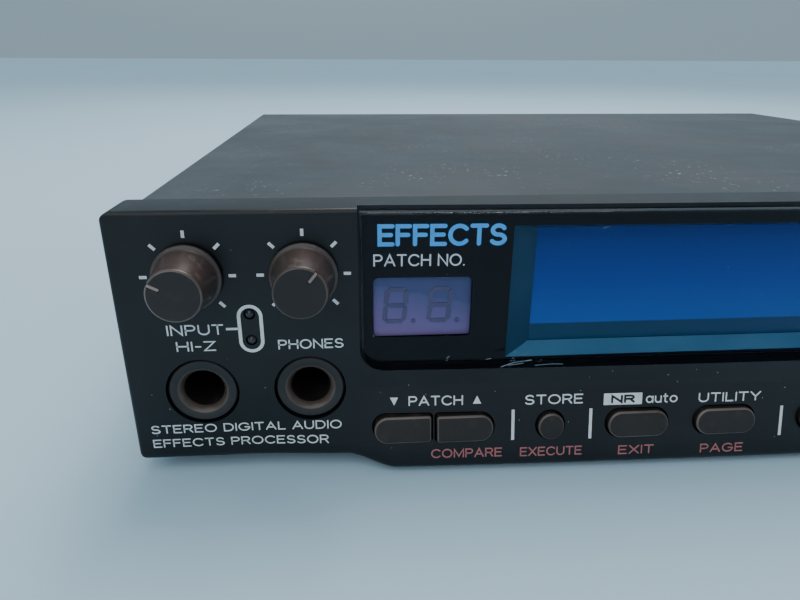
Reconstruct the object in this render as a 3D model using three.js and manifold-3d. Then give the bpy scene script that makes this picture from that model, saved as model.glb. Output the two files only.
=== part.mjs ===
// Half-rack effects processor: moulded front panel, painted steel case, control knobs,
// sprung front buttons, display stack, circuit boards and connectors.
// Units are millimetres, +Z is up, the front faces -Y.
import * as THREE from 'three';
import { mergeVertices } from 'three/addons/utils/BufferGeometryUtils.js';
import Module from 'manifold-3d';

const wasm = await Module();
wasm.setup();

// ---- driving dimensions, measured from the panel's lower left front corner ----
const PANEL_W = 207;
const PANEL_H = 44;
const PANEL_DEPTH = 8.2;
const WALL = 2.2;
const CASE_X0 = 2.1;
const CASE_X1 = PANEL_W - CASE_X0;
const CASE_FRONT = 8.6;
const CASE_REAR = 163.6;
const CASE_TOP = 43.4;
const SHEET = 1.0;
const TRAY_X0 = CASE_X0 + SHEET + 0.3;
const TRAY_X1 = PANEL_W - TRAY_X0;
const TRAY_Z = 0.6;
const REAR_WALL_Y = 161.4;
const FOOT_H = 2.3;
const GAP = 0.3;

const KNOB_X = [11.9, 29.5];
const KNOB_Z = 33.8;
const KNOB_OUT = 8.6;
const POINTER_DEG = [153, 51];
const JACK_Z = 13.6;
const LED_X = 20.6;
const LED_Z = [27.3, 22.8];

const LENS_X0 = 38.2;
const LENS_X1 = 203.8;
const LENS_Z0 = 16.8;
const LENS_Z1 = 43.5;
const LENS_PROUD = 1.0;
const LENS_T = 2.9;
const BOW = 1.3;
const BOW_MID = 122.5;
const BOW_HALF = 82;
const LCD_X0 = 62.6;
const LCD_X1 = 182.4;
const LCD_Z0 = 17.9;
const LCD_Z1 = 40.8;
const DIGITS_X0 = 40.2;
const DIGITS_X1 = 56.4;
const DIGITS_Z0 = 21.7;
const DIGITS_Z1 = 32.3;

const SLOPE_TOP = 13.3;
const SLOPE = 0.2126;
const BANK_DROP = 1.2;
const END_LIFT = 0.7;
const BANK_X0 = 35;
const BANK_X1 = 205;
const BUTTON_Z = 6.2;
const BUTTON_H = 4.6;
const BUTTON_OUT = 0.9;
const BUTTON_BACK = 6.4;
const CAP_W = 9.75;
const PAIR_W = 20.4;
const PILL_W = 10.75;
const ROUND_W = 4.62;
const BOARD_Y = 11.0;
const BOARD_T = 1.6;
const MAIN_BOARD_TOP = 7.2;
const ON_BOARD = MAIN_BOARD_TOP + GAP;

const CONTROL_JACK_X = 118;
const OUTPUT_RIGHT_X = 146;
const OUTPUT_LEFT_X = 166;
const MIDI_X = [66, 90];
const MIDI_Z = 17.3;
const DC_X = 22;
const DC_Z = 13.0;
const POWER_X = 40;
const POWER_Z = 12.4;
const FOOT_XY = [[17, 24], [PANEL_W - 17, 24], [17, 146], [PANEL_W - 17, 146]];
const SCREW_Y = [36, 138];
const SCREW_Z = 12;
const REAR_REACH = CASE_REAR + 3.4;

// ---- materials ----
const material = (colour, roughness, metalness) => (
  new THREE.MeshStandardMaterial({ color: colour, roughness, metalness })
);
const panelBlack = material(0x101113, 0.42, 0);
const knobBlack = material(0x1b1817, 0.6, 0);
const caseBlack = material(0x15161a, 0.5, 0.2);
const lensBlack = material(0x060709, 0.08, 0);
const blueGlass = material(0x0d3f8f, 0.15, 0);
const diffuser = material(0xd9e4ea, 0.5, 0);
const plated = material(0xb9bcc0, 0.3, 1);
const jackBlack = material(0x17171a, 0.45, 0);
const boardGreen = material(0x1d4a2c, 0.5, 0);
const chipBlack = material(0x121212, 0.55, 0);
const digitRed = material(0x8d7f96, 0.4, 0);
const clearLed = material(0xd8d2cc, 0.1, 0);
const rubber = material(0x141414, 0.85, 0);
const zinc = material(0x9a9ca0, 0.35, 1);
const ribbonGrey = material(0x8a8c90, 0.6, 0);
const sinkGrey = material(0xa4a6a9, 0.4, 1);

// ---- solid helpers ----
function toSolid(geometry) {
  const bare = geometry.clone();
  for (const name of Object.keys(bare.attributes)) {
    if (name !== 'position') {
      bare.deleteAttribute(name);
    }
  }
  const merged = mergeVertices(bare, 1e-4);
  return new wasm.Manifold(new wasm.Mesh({
    numProp: 3,
    vertProperties: Float32Array.from(merged.attributes.position.array),
    triVerts: Uint32Array.from(merged.index.array),
  }));
}

function toGeometry(solid) {
  const mesh = solid.getMesh();
  const geometry = new THREE.BufferGeometry();
  geometry.setAttribute('position', new THREE.BufferAttribute(Float32Array.from(mesh.vertProperties), 3));
  geometry.setIndex(new THREE.BufferAttribute(Uint32Array.from(mesh.triVerts), 1));
  const flat = geometry.toNonIndexed();
  flat.computeVertexNormals();
  return flat;
}

const join = (...solids) => solids.reduce((a, b) => a.add(b));
const cut = (solid, ...tools) => tools.reduce((a, b) => a.subtract(b), solid);

function box(x0, x1, y0, y1, z0, z1) {
  const geometry = new THREE.BoxGeometry(x1 - x0, y1 - y0, z1 - z0);
  return toSolid(geometry.translate((x0 + x1) / 2, (y0 + y1) / 2, (z0 + z1) / 2));
}

// Cylinder or cone along +Y, from y0 (radius r0) to y1 (radius r1).
function roundY(x, z, r0, r1, y0, y1, sides = 24) {
  const geometry = new THREE.CylinderGeometry(r1, r0, y1 - y0, sides);
  return toSolid(geometry.translate(x, (y0 + y1) / 2, z));
}

function roundX(y, z, r, x0, x1, sides = 16) {
  const geometry = new THREE.CylinderGeometry(r, r, x1 - x0, sides);
  geometry.rotateZ(-Math.PI / 2);
  return toSolid(geometry.translate((x0 + x1) / 2, y, z));
}

function roundZ(x, y, r, z0, z1, sides = 20) {
  const geometry = new THREE.CylinderGeometry(r, r, z1 - z0, sides);
  geometry.rotateX(Math.PI / 2);
  return toSolid(geometry.translate(x, y, (z0 + z1) / 2));
}

// Body of revolution about +Y from [radius, y] pairs.
function turnedY(profile, segments = 32) {
  return new THREE.LatheGeometry(profile.map(([r, y]) => new THREE.Vector2(r, y)), segments);
}

// Outline drawn in X and Z, extruded along +Y from y0 to y1.
function alongY(shape, y0, y1, curveSegments = 4) {
  const geometry = new THREE.ExtrudeGeometry(shape, { depth: y1 - y0, bevelEnabled: false, curveSegments });
  geometry.rotateX(Math.PI / 2);
  geometry.translate(0, y1, 0);
  return toSolid(geometry);
}

// Outline drawn in X and Y, extruded along +Z from z0 to z1.
function alongZ(points, z0, z1) {
  const shape = new THREE.Shape(points.map(([x, y]) => new THREE.Vector2(x, y)));
  const geometry = new THREE.ExtrudeGeometry(shape, { depth: z1 - z0, bevelEnabled: false });
  geometry.translate(0, 0, z0);
  return toSolid(geometry);
}

// Outline drawn in Y and Z, extruded along +X from x0 to x1.
function alongX(points, x0, x1) {
  const shape = new THREE.Shape(points.map(([y, z]) => new THREE.Vector2(y, z)));
  const geometry = new THREE.ExtrudeGeometry(shape, { depth: x1 - x0, bevelEnabled: false });
  geometry.rotateX(Math.PI / 2);
  geometry.rotateZ(Math.PI / 2);
  geometry.translate(x0, 0, 0);
  return toSolid(geometry);
}

// Rectangle with a radius for each corner: lower left, lower right, upper right, upper left.
function roundedRect(x0, x1, z0, z1, radii) {
  const [a, b, c, d] = typeof radii === 'number' ? [radii, radii, radii, radii] : radii;
  const shape = new THREE.Shape();
  shape.moveTo(x0 + a, z0);
  shape.lineTo(x1 - b, z0);
  shape.absarc(x1 - b, z0 + b, b, -Math.PI / 2, 0, false);
  shape.lineTo(x1, z1 - c);
  shape.absarc(x1 - c, z1 - c, c, 0, Math.PI / 2, false);
  shape.lineTo(x0 + d, z1);
  shape.absarc(x0 + d, z1 - d, d, Math.PI / 2, Math.PI, false);
  shape.lineTo(x0, z0 + a);
  shape.absarc(x0 + a, z0 + a, a, Math.PI, Math.PI * 1.5, false);
  return shape;
}

// Solid through a row of closed sections, each a ring of [x, y, z] with equal counts.
function loft(sections) {
  const n = sections[0].length;
  const positions = sections.flat(2);
  const index = [];
  for (let s = 0; s < sections.length - 1; s += 1) {
    for (let i = 0; i < n; i += 1) {
      const j = (i + 1) % n;
      const a = s * n + i;
      const b = s * n + j;
      index.push(a, b, a + n, b, b + n, a + n);
    }
  }
  const outline = sections[0].map(([, y, z]) => new THREE.Vector2(y, z));
  const last = (sections.length - 1) * n;
  for (const [a, b, c] of THREE.ShapeUtils.triangulateShape(outline, [])) {
    index.push(a, c, b, last + a, last + b, last + c);
  }
  const geometry = new THREE.BufferGeometry();
  geometry.setAttribute('position', new THREE.Float32BufferAttribute(positions, 3));
  geometry.setIndex(index);
  return geometry;
}

// ---- shape of the front ----
function smooth(a, b, x) {
  const t = Math.min(1, Math.max(0, (x - a) / (b - a)));
  return t * t * (3 - 2 * t);
}

const bow = (x) => BOW * Math.max(0, 1 - ((x - BOW_MID) / BOW_HALF) ** 2);

// The lower button bank: 0 on the flat left part, 1 along the bank.
const bankRise = (x) => smooth(BANK_X0, BANK_X0 + 9, x) * (1 - smooth(BANK_X1 - 4.4, BANK_X1, x));

// How far the face stands out below the top of the bank.
function bank(x, z) {
  const below = Math.max(0, SLOPE_TOP - z);
  const lead = 1.05 * smooth(19, 36, x) * (1 - smooth(BANK_X1 - 4.4, BANK_X1, x));
  return (1 - bankRise(x)) * lead * (Math.min(12, below) / 12) ** 2 + bankRise(x) * SLOPE * below;
}

const faceY = (x, z) => -bow(x) - bank(x, z);

function panelSection(x) {
  const edge = 0.7;
  const e = Math.min(x, PANEL_W - x);
  const inset = e < edge ? edge - Math.sqrt(edge * edge - (edge - e) ** 2) : 0;
  const bottom = END_LIFT - (END_LIFT + BANK_DROP) * bankRise(x);
  const ring = [];
  ring.push([x, PANEL_DEPTH, PANEL_H]);
  ring.push([x, faceY(x, PANEL_H) + edge + inset, PANEL_H]);
  ring.push([x, faceY(x, PANEL_H) + 0.2 + inset, PANEL_H - 0.2]);
  ring.push([x, faceY(x, PANEL_H) + inset, PANEL_H - edge]);
  for (const z of [SLOPE_TOP, 7, bottom + 1.2]) {
    ring.push([x, faceY(x, z) + inset, z]);
  }
  const low = faceY(x, bottom + 1.2) + inset;
  ring.push([x, low + 0.05, bottom + 0.5]);
  ring.push([x, low + 0.35, bottom + 0.1]);
  ring.push([x, low + 0.9, bottom]);
  ring.push([x, PANEL_DEPTH, bottom]);
  return ring;
}

// Face outline with rounded corners, open below where the bank hangs lower than the ends.
function panelOutline() {
  const r = 2;
  const shape = new THREE.Shape();
  shape.moveTo(r, END_LIFT);
  shape.lineTo(30, END_LIFT);
  shape.lineTo(30, -4);
  shape.lineTo(BANK_X1, -4);
  shape.lineTo(BANK_X1, END_LIFT);
  shape.absarc(PANEL_W - r, END_LIFT + r, r, -Math.PI / 2, 0, false);
  shape.absarc(PANEL_W - r, PANEL_H - r, r, 0, Math.PI / 2, false);
  shape.absarc(r, PANEL_H - r, r, Math.PI / 2, Math.PI, false);
  shape.absarc(r, END_LIFT + r, r, Math.PI, Math.PI * 1.5, false);
  return shape;
}

const stations = [0, 0.2, 0.7, 19, 25, 30, 35, 37, 38.5, 40, 42, 44];
for (let x = 58; x < 200; x += 18) {
  stations.push(x);
}
stations.push(200.6, 202, 203.5, BANK_X1, 206.3, 206.8, PANEL_W);

const lensOutline = (grow, top) => roundedRect(
  LENS_X0 - grow,
  LENS_X1 + grow,
  LENS_Z0 - grow,
  top,
  [3.7 + grow, 3.7 + grow, 0.6, 0.6],
);

function bowedSlab(x0, x1, frontOffset, backOffset, z0, z1) {
  const front = [];
  const back = [];
  const steps = 10;
  for (let i = 0; i <= steps; i += 1) {
    const x = x0 + ((x1 - x0) * i) / steps;
    front.push([x, frontOffset - bow(x)]);
    back.unshift([x, backOffset - bow(x)]);
  }
  return alongZ([...front, ...back], z0, z1);
}

// Four-sided tapering opening, larger in front.
function taperedOpening(x0, x1, z0, z1, inX, inZ, y0, y1) {
  const geometry = new THREE.BoxGeometry(2, 2, 2);
  const position = geometry.attributes.position;
  for (let i = 0; i < position.count; i += 1) {
    const deep = position.getY(i) > 0;
    const dx = deep ? inX : 0;
    const dz = deep ? inZ : 0;
    position.setXYZ(
      i,
      position.getX(i) > 0 ? x1 - dx : x0 + dx,
      deep ? y1 : y0,
      position.getZ(i) > 0 ? z1 - dz : z0 + dz,
    );
  }
  return toSolid(geometry);
}

// ---- front buttons: name, outline centre, width, corner radii ----
const R = BUTTON_H / 2;
const buttonSpecs = [];
function addPair(x0, leftName, rightName) {
  const half = BUTTON_H / 2 - 0.05;
  buttonSpecs.push({ name: leftName, x0, x1: x0 + CAP_W, radii: [half, 0.4, 0.4, half] });
  buttonSpecs.push({
    name: rightName,
    x0: x0 + PAIR_W - CAP_W,
    x1: x0 + PAIR_W,
    radii: [0.4, half, half, 0.4],
  });
}
function addSingle(cx, width, name) {
  const r = R - 0.01;
  buttonSpecs.push({ name, x0: cx - width / 2, x1: cx + width / 2, radii: [r, r, r, r] });
}
addPair(40.0, 'patch_down_button', 'patch_up_button');
addSingle(70.4, ROUND_W, 'store_button');
addSingle(85.7, PILL_W, 'exit_button');
addSingle(101.4, PILL_W, 'page_button');
addPair(115.0, 'effect_down_button', 'effect_up_button');
addPair(142.2, 'parameter_down_button', 'parameter_up_button');
addPair(169.4, 'value_down_button', 'value_up_button');
addSingle(197.4, ROUND_W, 'bypass_button');

const buttonOutline = (spec, grow) => roundedRect(
  spec.x0 - grow,
  spec.x1 + grow,
  BUTTON_Z - R - grow,
  BUTTON_Z + R + grow,
  spec.radii.map((r) => r + grow),
);

function buttonSolid(spec) {
  const mid = (spec.x0 + spec.x1) / 2;
  const bevel = 0.35;
  const front = faceY(mid, BUTTON_Z) - BUTTON_OUT;
  const depth = 3.4;
  const geometry = new THREE.ExtrudeGeometry(buttonOutline(spec, -bevel), {
    depth,
    bevelEnabled: true,
    bevelThickness: bevel,
    bevelSize: bevel,
    bevelSegments: 1,
    curveSegments: 3,
  });
  geometry.rotateX(Math.PI / 2);
  geometry.translate(0, front + bevel + depth, -BUTTON_Z);
  const shear = new THREE.Matrix4().set(1, 0, 0, 0, 0, 1, SLOPE, 0, 0, 0, 1, BUTTON_Z, 0, 0, 0, 1);
  geometry.applyMatrix4(shear);
  const stem = box(mid - 1.9, mid + 1.9, front + 2, BUTTON_BACK, BUTTON_Z - 1.6, BUTTON_Z + 1.6);
  return join(toSolid(geometry), stem);
}

// ---- scene assembly ----
const group = new THREE.Group();
const REACH_FRONT = -KNOB_OUT;
group.position.set(-PANEL_W / 2, -(REACH_FRONT + REAR_REACH) / 2, FOOT_H);

function add(name, geometry, mat, x = 0, y = 0, z = 0) {
  const mesh = new THREE.Mesh(geometry, mat);
  mesh.name = name;
  mesh.position.set(x, y, z);
  group.add(mesh);
  return mesh;
}

// Moulded front panel, hollow behind, with every opening cut.
let panel = toSolid(loft(stations.map(panelSection)));
panel = panel.intersect(alongY(panelOutline(), -20, 20, 5));
panel = cut(
  panel,
  box(WALL, PANEL_W - WALL, 4.4, 20, WALL, PANEL_H - WALL),
  box(WALL, 37.2, WALL, 5, WALL, PANEL_H - WALL),
  alongX([[WALL, 14.6], [-0.4, 1], [6, 1], [6, 14.6]], 45, 200),
);
const pocket = alongY(lensOutline(0.35, PANEL_H + 3), -20, 10, 6)
  .intersect(bowedSlab(30, 206.9, -20, LENS_T - LENS_PROUD + GAP, 0, PANEL_H + 5));
panel = cut(
  panel,
  pocket,
  taperedOpening(LCD_X0, LCD_X1, LCD_Z0, LCD_Z1, 4.6, 1.3, 0.4, 4.6),
  alongY(roundedRect(DIGITS_X0 - 0.35, DIGITS_X1 + 0.35, DIGITS_Z0 - 0.35, DIGITS_Z1 + 0.35, 0.8), -3, 6),
);
for (const x of KNOB_X) {
  panel = cut(panel, roundY(x, KNOB_Z, 4.35, 4.35, -4, 6), roundY(x, JACK_Z, 5.95, 5.95, -4, 6, 24));
}
for (const z of LED_Z) {
  panel = cut(panel, roundY(LED_X, z, 1.1, 1.1, -4, 6, 16));
}
for (const spec of buttonSpecs) {
  panel = cut(panel, alongY(buttonOutline(spec, 0.35), -12, 6, 3));
}
add('front_panel', toGeometry(panel), panelBlack);

// Glossy lens, bowed like the panel, standing a little proud of it.
const lens = alongY(lensOutline(0, LENS_Z1), -20, 20, 6)
  .intersect(bowedSlab(30, 206.9, -LENS_PROUD, LENS_T - LENS_PROUD, 0, PANEL_H + 5));
add('display_lens', toGeometry(lens), lensBlack);

// Steel tray: floor, side flanges, rear wall and pressed board posts.
const BOARD_POSTS = [[14, 44], [PANEL_W - 14, 44], [14, 130], [PANEL_W - 14, 130]];
let tray = join(
  box(TRAY_X0, TRAY_X1, CASE_FRONT, REAR_WALL_Y + SHEET, TRAY_Z, TRAY_Z + SHEET),
  box(TRAY_X0, TRAY_X0 + SHEET, 14, REAR_WALL_Y + 0.5, TRAY_Z, 18),
  box(TRAY_X1 - SHEET, TRAY_X1, 14, REAR_WALL_Y + 0.5, TRAY_Z, 18),
  box(TRAY_X0, TRAY_X1, REAR_WALL_Y, REAR_WALL_Y + SHEET, TRAY_Z, CASE_TOP - SHEET - GAP),
  ...BOARD_POSTS.map(([x, y]) => roundZ(x, y, 3, TRAY_Z + 0.4, MAIN_BOARD_TOP - BOARD_T - GAP, 12)),
);
const rearHoles = [
  ...[CONTROL_JACK_X, OUTPUT_RIGHT_X, OUTPUT_LEFT_X].map((x) => roundY(x, JACK_Z, 4.9, 4.9, 158, 168)),
  ...MIDI_X.map((x) => roundY(x, MIDI_Z, 8.2, 8.2, 158, 168, 24)),
  roundY(DC_X, DC_Z, 5.0, 5.0, 158, 168),
  alongY(roundedRect(POWER_X - 3.8, POWER_X + 3.8, POWER_Z - 3.8, POWER_Z + 3.8, 0.8), 158, 168),
];
tray = cut(tray, ...rearHoles);
for (const y of SCREW_Y) {
  tray = cut(tray, roundX(y, SCREW_Z, 1.75, 0, 8, 12), roundX(y, SCREW_Z, 1.75, PANEL_W - 8, PANEL_W, 12));
}
add('chassis_tray', toGeometry(tray), caseBlack);

// Folded steel cover: top and two sides with rounded bends.
const bend = 1.6;
const coverOuter = alongY(
  roundedRect(CASE_X0, CASE_X1, TRAY_Z + 0.3, CASE_TOP, [0.1, 0.1, bend, bend]),
  CASE_FRONT,
  CASE_REAR,
);
const coverInner = alongY(
  roundedRect(CASE_X0 + SHEET, CASE_X1 - SHEET, -5, CASE_TOP - SHEET, [0.1, 0.1, bend - SHEET, bend - SHEET]),
  CASE_FRONT - 5,
  CASE_REAR + 5,
);
let cover = cut(coverOuter, coverInner);
for (const y of SCREW_Y) {
  cover = cut(cover, roundX(y, SCREW_Z, 1.75, 0, 8, 12), roundX(y, SCREW_Z, 1.75, PANEL_W - 8, PANEL_W, 12));
}
add('top_cover', toGeometry(cover), caseBlack);

// Cover screws: domed heads against the sides, shanks through both sheets.
function screwGeometry() {
  return turnedY([[0, 0], [1.9, 0.2], [2.9, 0.9], [3.0, 1.5], [1.45, 1.5], [1.45, 5.4], [0, 5.4]], 16);
}
['left_front', 'left_rear', 'right_front', 'right_rear'].forEach((place, i) => {
  const left = i < 2;
  const screw = add(`cover_screw_${place}`, screwGeometry(), zinc);
  screw.rotation.z = left ? -Math.PI / 2 : Math.PI / 2;
  screw.position.set(left ? 0.3 : PANEL_W - 0.3, SCREW_Y[i % 2], SCREW_Z);
});

// Rubber feet.
['left_front', 'right_front', 'left_rear', 'right_rear'].forEach((place, i) => {
  const foot = add(
    `foot_${place}`,
    turnedY([[0, 0], [5.2, 0], [6.0, 0.6], [6.4, FOOT_H + TRAY_Z - GAP], [0, FOOT_H + TRAY_Z - GAP]], 20),
    rubber,
  );
  foot.rotation.x = Math.PI / 2;
  foot.position.set(FOOT_XY[i][0], FOOT_XY[i][1], -FOOT_H);
});

// Level controls: pot body with bushing, turning shaft and pointer knob.
const knobProfile = [
  [0, -KNOB_OUT], [3.5, -KNOB_OUT], [3.95, -KNOB_OUT + 0.25], [4.15, -KNOB_OUT + 0.75],
  [4.75, -1.9], [5.25, -1.7], [5.3, -0.6], [3.3, -0.6], [3.3, -5.5], [0, -5.5],
];
['input', 'phones'].forEach((name, i) => {
  const x = KNOB_X[i];
  const potBody = box(x - 5, x + 5, 3.6, 10.7, KNOB_Z - 6.4, KNOB_Z + 5.2);
  const bushing = roundY(x, KNOB_Z, 4, 4, 0.6, 4);
  const bore = roundY(x, KNOB_Z, 3.3, 3.3, 0, 3.6);
  add(`${name}_pot`, toGeometry(cut(join(potBody, bushing), bore)), sinkGrey);

  const shaft = new THREE.CylinderGeometry(3, 3, 8.5, 16);
  add(`${name}_shaft`, shaft, sinkGrey, x, -0.95, KNOB_Z);

  const slot = toSolid(
    new THREE.BoxGeometry(2.6, 0.9, 0.8)
      .translate(3.3, -KNOB_OUT, 0)
      .rotateY(-THREE.MathUtils.degToRad(POINTER_DEG[i])),
  );
  const knob = cut(toSolid(turnedY(knobProfile, 32)), slot);
  add(`${name}_knob`, toGeometry(knob), knobBlack, x, 0, KNOB_Z);
});
add('control_board', toGeometry(box(5, 37, BOARD_Y, BOARD_Y + BOARD_T, 21.4, 41)), boardGreen);

// Clear level indicators, domed through the panel.
['upper', 'lower'].forEach((place, i) => {
  const dome = turnedY([[0, -0.35], [0.5, -0.2], [0.8, 0.2], [0.8, 10.7], [0, 10.7]], 14);
  add(`level_led_${place}`, dome, clearLed, LED_X, 0, LED_Z[i]);
});

// 6.35 mm jack socket; the mouth points along dir (-1 front, +1 rear).
function jackSolid(x, wallY, dir, ringR, ringOut) {
  const y = (d) => wallY - dir * d;
  const span = (a, b) => [Math.min(y(a), y(b)), Math.max(y(a), y(b))];
  const [b0, b1] = span(2.4, 30);
  const [r0, r1] = span(-ringOut, 3);
  const [h0, h1] = span(-ringOut - 1, 28);
  const [c0, c1] = span(-ringOut - 0.01, -ringOut + 0.7);
  const wide = ringR > 5 ? 4.1 : 3.7;
  return cut(
    join(
      box(x - 6.8, x + 6.8, b0, b1, JACK_Z - 6.1, JACK_Z + 6.1),
      roundY(x, JACK_Z, ringR, ringR, r0, r1, 24),
    ),
    roundY(x, JACK_Z, 3.35, 3.35, h0, h1, 16),
    roundY(x, JACK_Z, dir < 0 ? wide : 3.3, dir < 0 ? 3.3 : wide, c0, c1, 16),
  );
}
add('input_jack', toGeometry(jackSolid(KNOB_X[0], 0.3, -1, 5.65, 0)), jackBlack);
add('phones_jack', toGeometry(jackSolid(KNOB_X[1], 0.3, -1, 5.65, 0)), jackBlack);

function rearJack(x) {
  const wall = REAR_WALL_Y + SHEET;
  const nut = roundY(x, JACK_Z, 6.2, 6.2, wall + GAP, wall + GAP + 1.9, 6);
  const hole = roundY(x, JACK_Z, 4, 4, wall, wall + 4, 20);
  return join(jackSolid(x, wall, 1, 4.5, 3.8), cut(nut, hole));
}
add('control_jack', toGeometry(rearJack(CONTROL_JACK_X)), jackBlack);
add('output_right_jack', toGeometry(rearJack(OUTPUT_RIGHT_X)), jackBlack);
add('output_left_jack', toGeometry(rearJack(OUTPUT_LEFT_X)), jackBlack);

// Five-pin DIN sockets: square body, round shell with an open plug recess.
['midi_in_socket', 'midi_out_socket'].forEach((name, i) => {
  const x = MIDI_X[i];
  const body = join(
    box(x - 9.8, x + 9.8, 148, 160.9, ON_BOARD, ON_BOARD + 19.6),
    roundY(x, MIDI_Z, 7.85, 7.85, 160.5, CASE_REAR + 0.4, 24),
  );
  add(name, toGeometry(cut(body, roundY(x, MIDI_Z, 6.9, 6.9, 154, 170, 24))), jackBlack);
});

// Round supply inlet.
const inlet = join(
  box(DC_X - 5.5, DC_X + 5.5, 148.6, 160.9, ON_BOARD, ON_BOARD + 11),
  roundY(DC_X, DC_Z, 4.6, 4.6, 160.5, CASE_REAR + 0.3, 20),
);
add('dc_socket', toGeometry(cut(inlet, roundY(DC_X, DC_Z, 3.2, 3.2, 151.5, 170, 20))), jackBlack);

// Push switch for power: fixed body and its sliding button.
add('power_switch', toGeometry(box(POWER_X - 4.6, POWER_X + 4.6, 134, 154.5, ON_BOARD, ON_BOARD + 9.4)), plated);
const powerCap = join(
  alongY(roundedRect(POWER_X - 3.4, POWER_X + 3.4, POWER_Z - 3.4, POWER_Z + 3.4, 0.6), 159.2, REAR_REACH),
  box(POWER_X - 1.5, POWER_X + 1.5, 157.4, 160, POWER_Z - 1.5, POWER_Z + 1.5),
);
add('power_button', toGeometry(powerCap), knobBlack);

// Hook that holds the supply lead against the rear wall.
const hookPoints = [[162.7, 24], [162.7, 31], [163.9, 31], [163.9, 25.8], [166.1, 25.8], [166.1, 29], [167, 29], [167, 24]];
add('cord_hook', toGeometry(alongX(hookPoints, DC_X - 4, DC_X + 4)), jackBlack);

// Display stack: glass, light box and folded metal frame.
const glassX0 = LCD_X0 + 1;
const glassX1 = LCD_X1 - 1;
add('lcd_glass', toGeometry(box(glassX0, glassX1, 4.8, 7.0, 17.0, 40.8)), blueGlass);
add('lcd_backlight', toGeometry(box(glassX0, glassX1, 7.3, 10.6, 17.0, 40.8)), diffuser);
const lcdFrame = cut(
  box(glassX0 - 1, glassX1 + 1, 4.8, 10.6, 16.0, 41.5),
  box(glassX0 - 0.4, glassX1 + 0.4, 4, 11, 16.6, 41.15),
);
add('lcd_frame', toGeometry(lcdFrame), plated);

// Two-digit segment display.
add('led_display', toGeometry(box(DIGITS_X0, DIGITS_X1, 2.4, 10.7, DIGITS_Z0, DIGITS_Z1)), digitRed);

// Vertical front board with a push switch behind every button.
let frontBoard = box(38.4, 201.5, BOARD_Y, BOARD_Y + BOARD_T, 2.6, 41.2);
for (const spec of buttonSpecs) {
  const mid = (spec.x0 + spec.x1) / 2;
  frontBoard = join(
    frontBoard,
    box(mid - 2.2, mid + 2.2, 8.2, BOARD_Y + 0.2, BUTTON_Z - 3, BUTTON_Z + 3),
    roundY(mid, BUTTON_Z, 1.7, 1.7, 7.3, 8.4, 10),
  );
}
add('front_board', toGeometry(frontBoard), boardGreen);

for (const spec of buttonSpecs) {
  add(spec.name, toGeometry(buttonSolid(spec)), knobBlack);
}

// Main board and what stands on it.
let mainBoard = box(6, PANEL_W - 6, 13.4, 156, MAIN_BOARD_TOP - BOARD_T, MAIN_BOARD_TOP);
for (const [x, y] of BOARD_POSTS) {
  mainBoard = cut(mainBoard, roundZ(x, y, 1.6, 0, 20, 12));
}
add('main_board', toGeometry(mainBoard), boardGreen);
const chip = (name, x, y, w, d, h) => {
  add(name, toGeometry(box(x - w / 2, x + w / 2, y - d / 2, y + d / 2, ON_BOARD, ON_BOARD + h)), chipBlack);
};
chip('dsp_chip', 92, 84, 28, 28, 3.2);
chip('memory_chip', 132, 84, 16, 11, 2.6);
chip('converter_chip', 162, 96, 18, 8, 3.0);
const battery = turnedY([[0, 0], [10, 0], [10.3, 0.4], [10.3, 3.6], [9.6, 4.2], [0, 4.2]], 28);
add('backup_battery', battery.rotateX(Math.PI / 2), plated, 60, 104, ON_BOARD);
const can = turnedY([[0, 0], [4.7, 0], [5, 0.3], [5, 15.6], [4.6, 16], [0, 16]], 20);
add('filter_capacitor', can.rotateX(Math.PI / 2), chipBlack, 26, 126, ON_BOARD);

// Voltage regulator bolted against a bent aluminium sink.
add('regulator', toGeometry(box(42, 52, 113, 117.4, ON_BOARD + 2, ON_BOARD + 18)), chipBlack);
const sink = join(
  box(36, 58, 117.7, 119.7, ON_BOARD, ON_BOARD + 24),
  box(36, 38, 119.5, 131, ON_BOARD, ON_BOARD + 24),
  box(56, 58, 119.5, 131, ON_BOARD, ON_BOARD + 24),
);
add('heat_sink', toGeometry(sink), sinkGrey);

// Flat ribbon from the front board down to the main board.
function ribbonProfile() {
  const top = [];
  const under = [];
  for (let i = 0; i <= 10; i += 1) {
    const a = (Math.PI / 2) * (i / 10);
    top.push([13.2 + 20 * Math.sin(a), 8.4 + 20.6 * Math.cos(a)]);
    under.unshift([13.2 + 19.2 * Math.sin(a), 8.4 + 19.8 * Math.cos(a)]);
  }
  return [...top, [33.2, ON_BOARD], [32.4, ON_BOARD], ...under];
}
add('ribbon_cable', toGeometry(alongX(ribbonProfile(), 104, 130)), ribbonGrey);

export default group;
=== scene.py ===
import math
import random

import bmesh
import bpy
from mathutils import Matrix, Vector


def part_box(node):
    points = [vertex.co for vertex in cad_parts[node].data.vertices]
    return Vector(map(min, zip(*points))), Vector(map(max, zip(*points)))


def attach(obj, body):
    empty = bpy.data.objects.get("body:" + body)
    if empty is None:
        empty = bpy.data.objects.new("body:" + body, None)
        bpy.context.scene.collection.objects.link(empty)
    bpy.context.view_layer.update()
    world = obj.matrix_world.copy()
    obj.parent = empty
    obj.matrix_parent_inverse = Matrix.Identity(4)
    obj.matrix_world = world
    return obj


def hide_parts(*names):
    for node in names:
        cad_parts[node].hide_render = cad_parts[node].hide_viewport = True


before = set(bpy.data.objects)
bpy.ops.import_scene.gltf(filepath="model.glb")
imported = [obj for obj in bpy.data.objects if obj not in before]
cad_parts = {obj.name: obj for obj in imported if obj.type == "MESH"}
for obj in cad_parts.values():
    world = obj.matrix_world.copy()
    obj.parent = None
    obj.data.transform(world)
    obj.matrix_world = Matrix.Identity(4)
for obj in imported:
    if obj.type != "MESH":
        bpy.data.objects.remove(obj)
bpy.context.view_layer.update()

ROOT = "unit"

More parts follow.
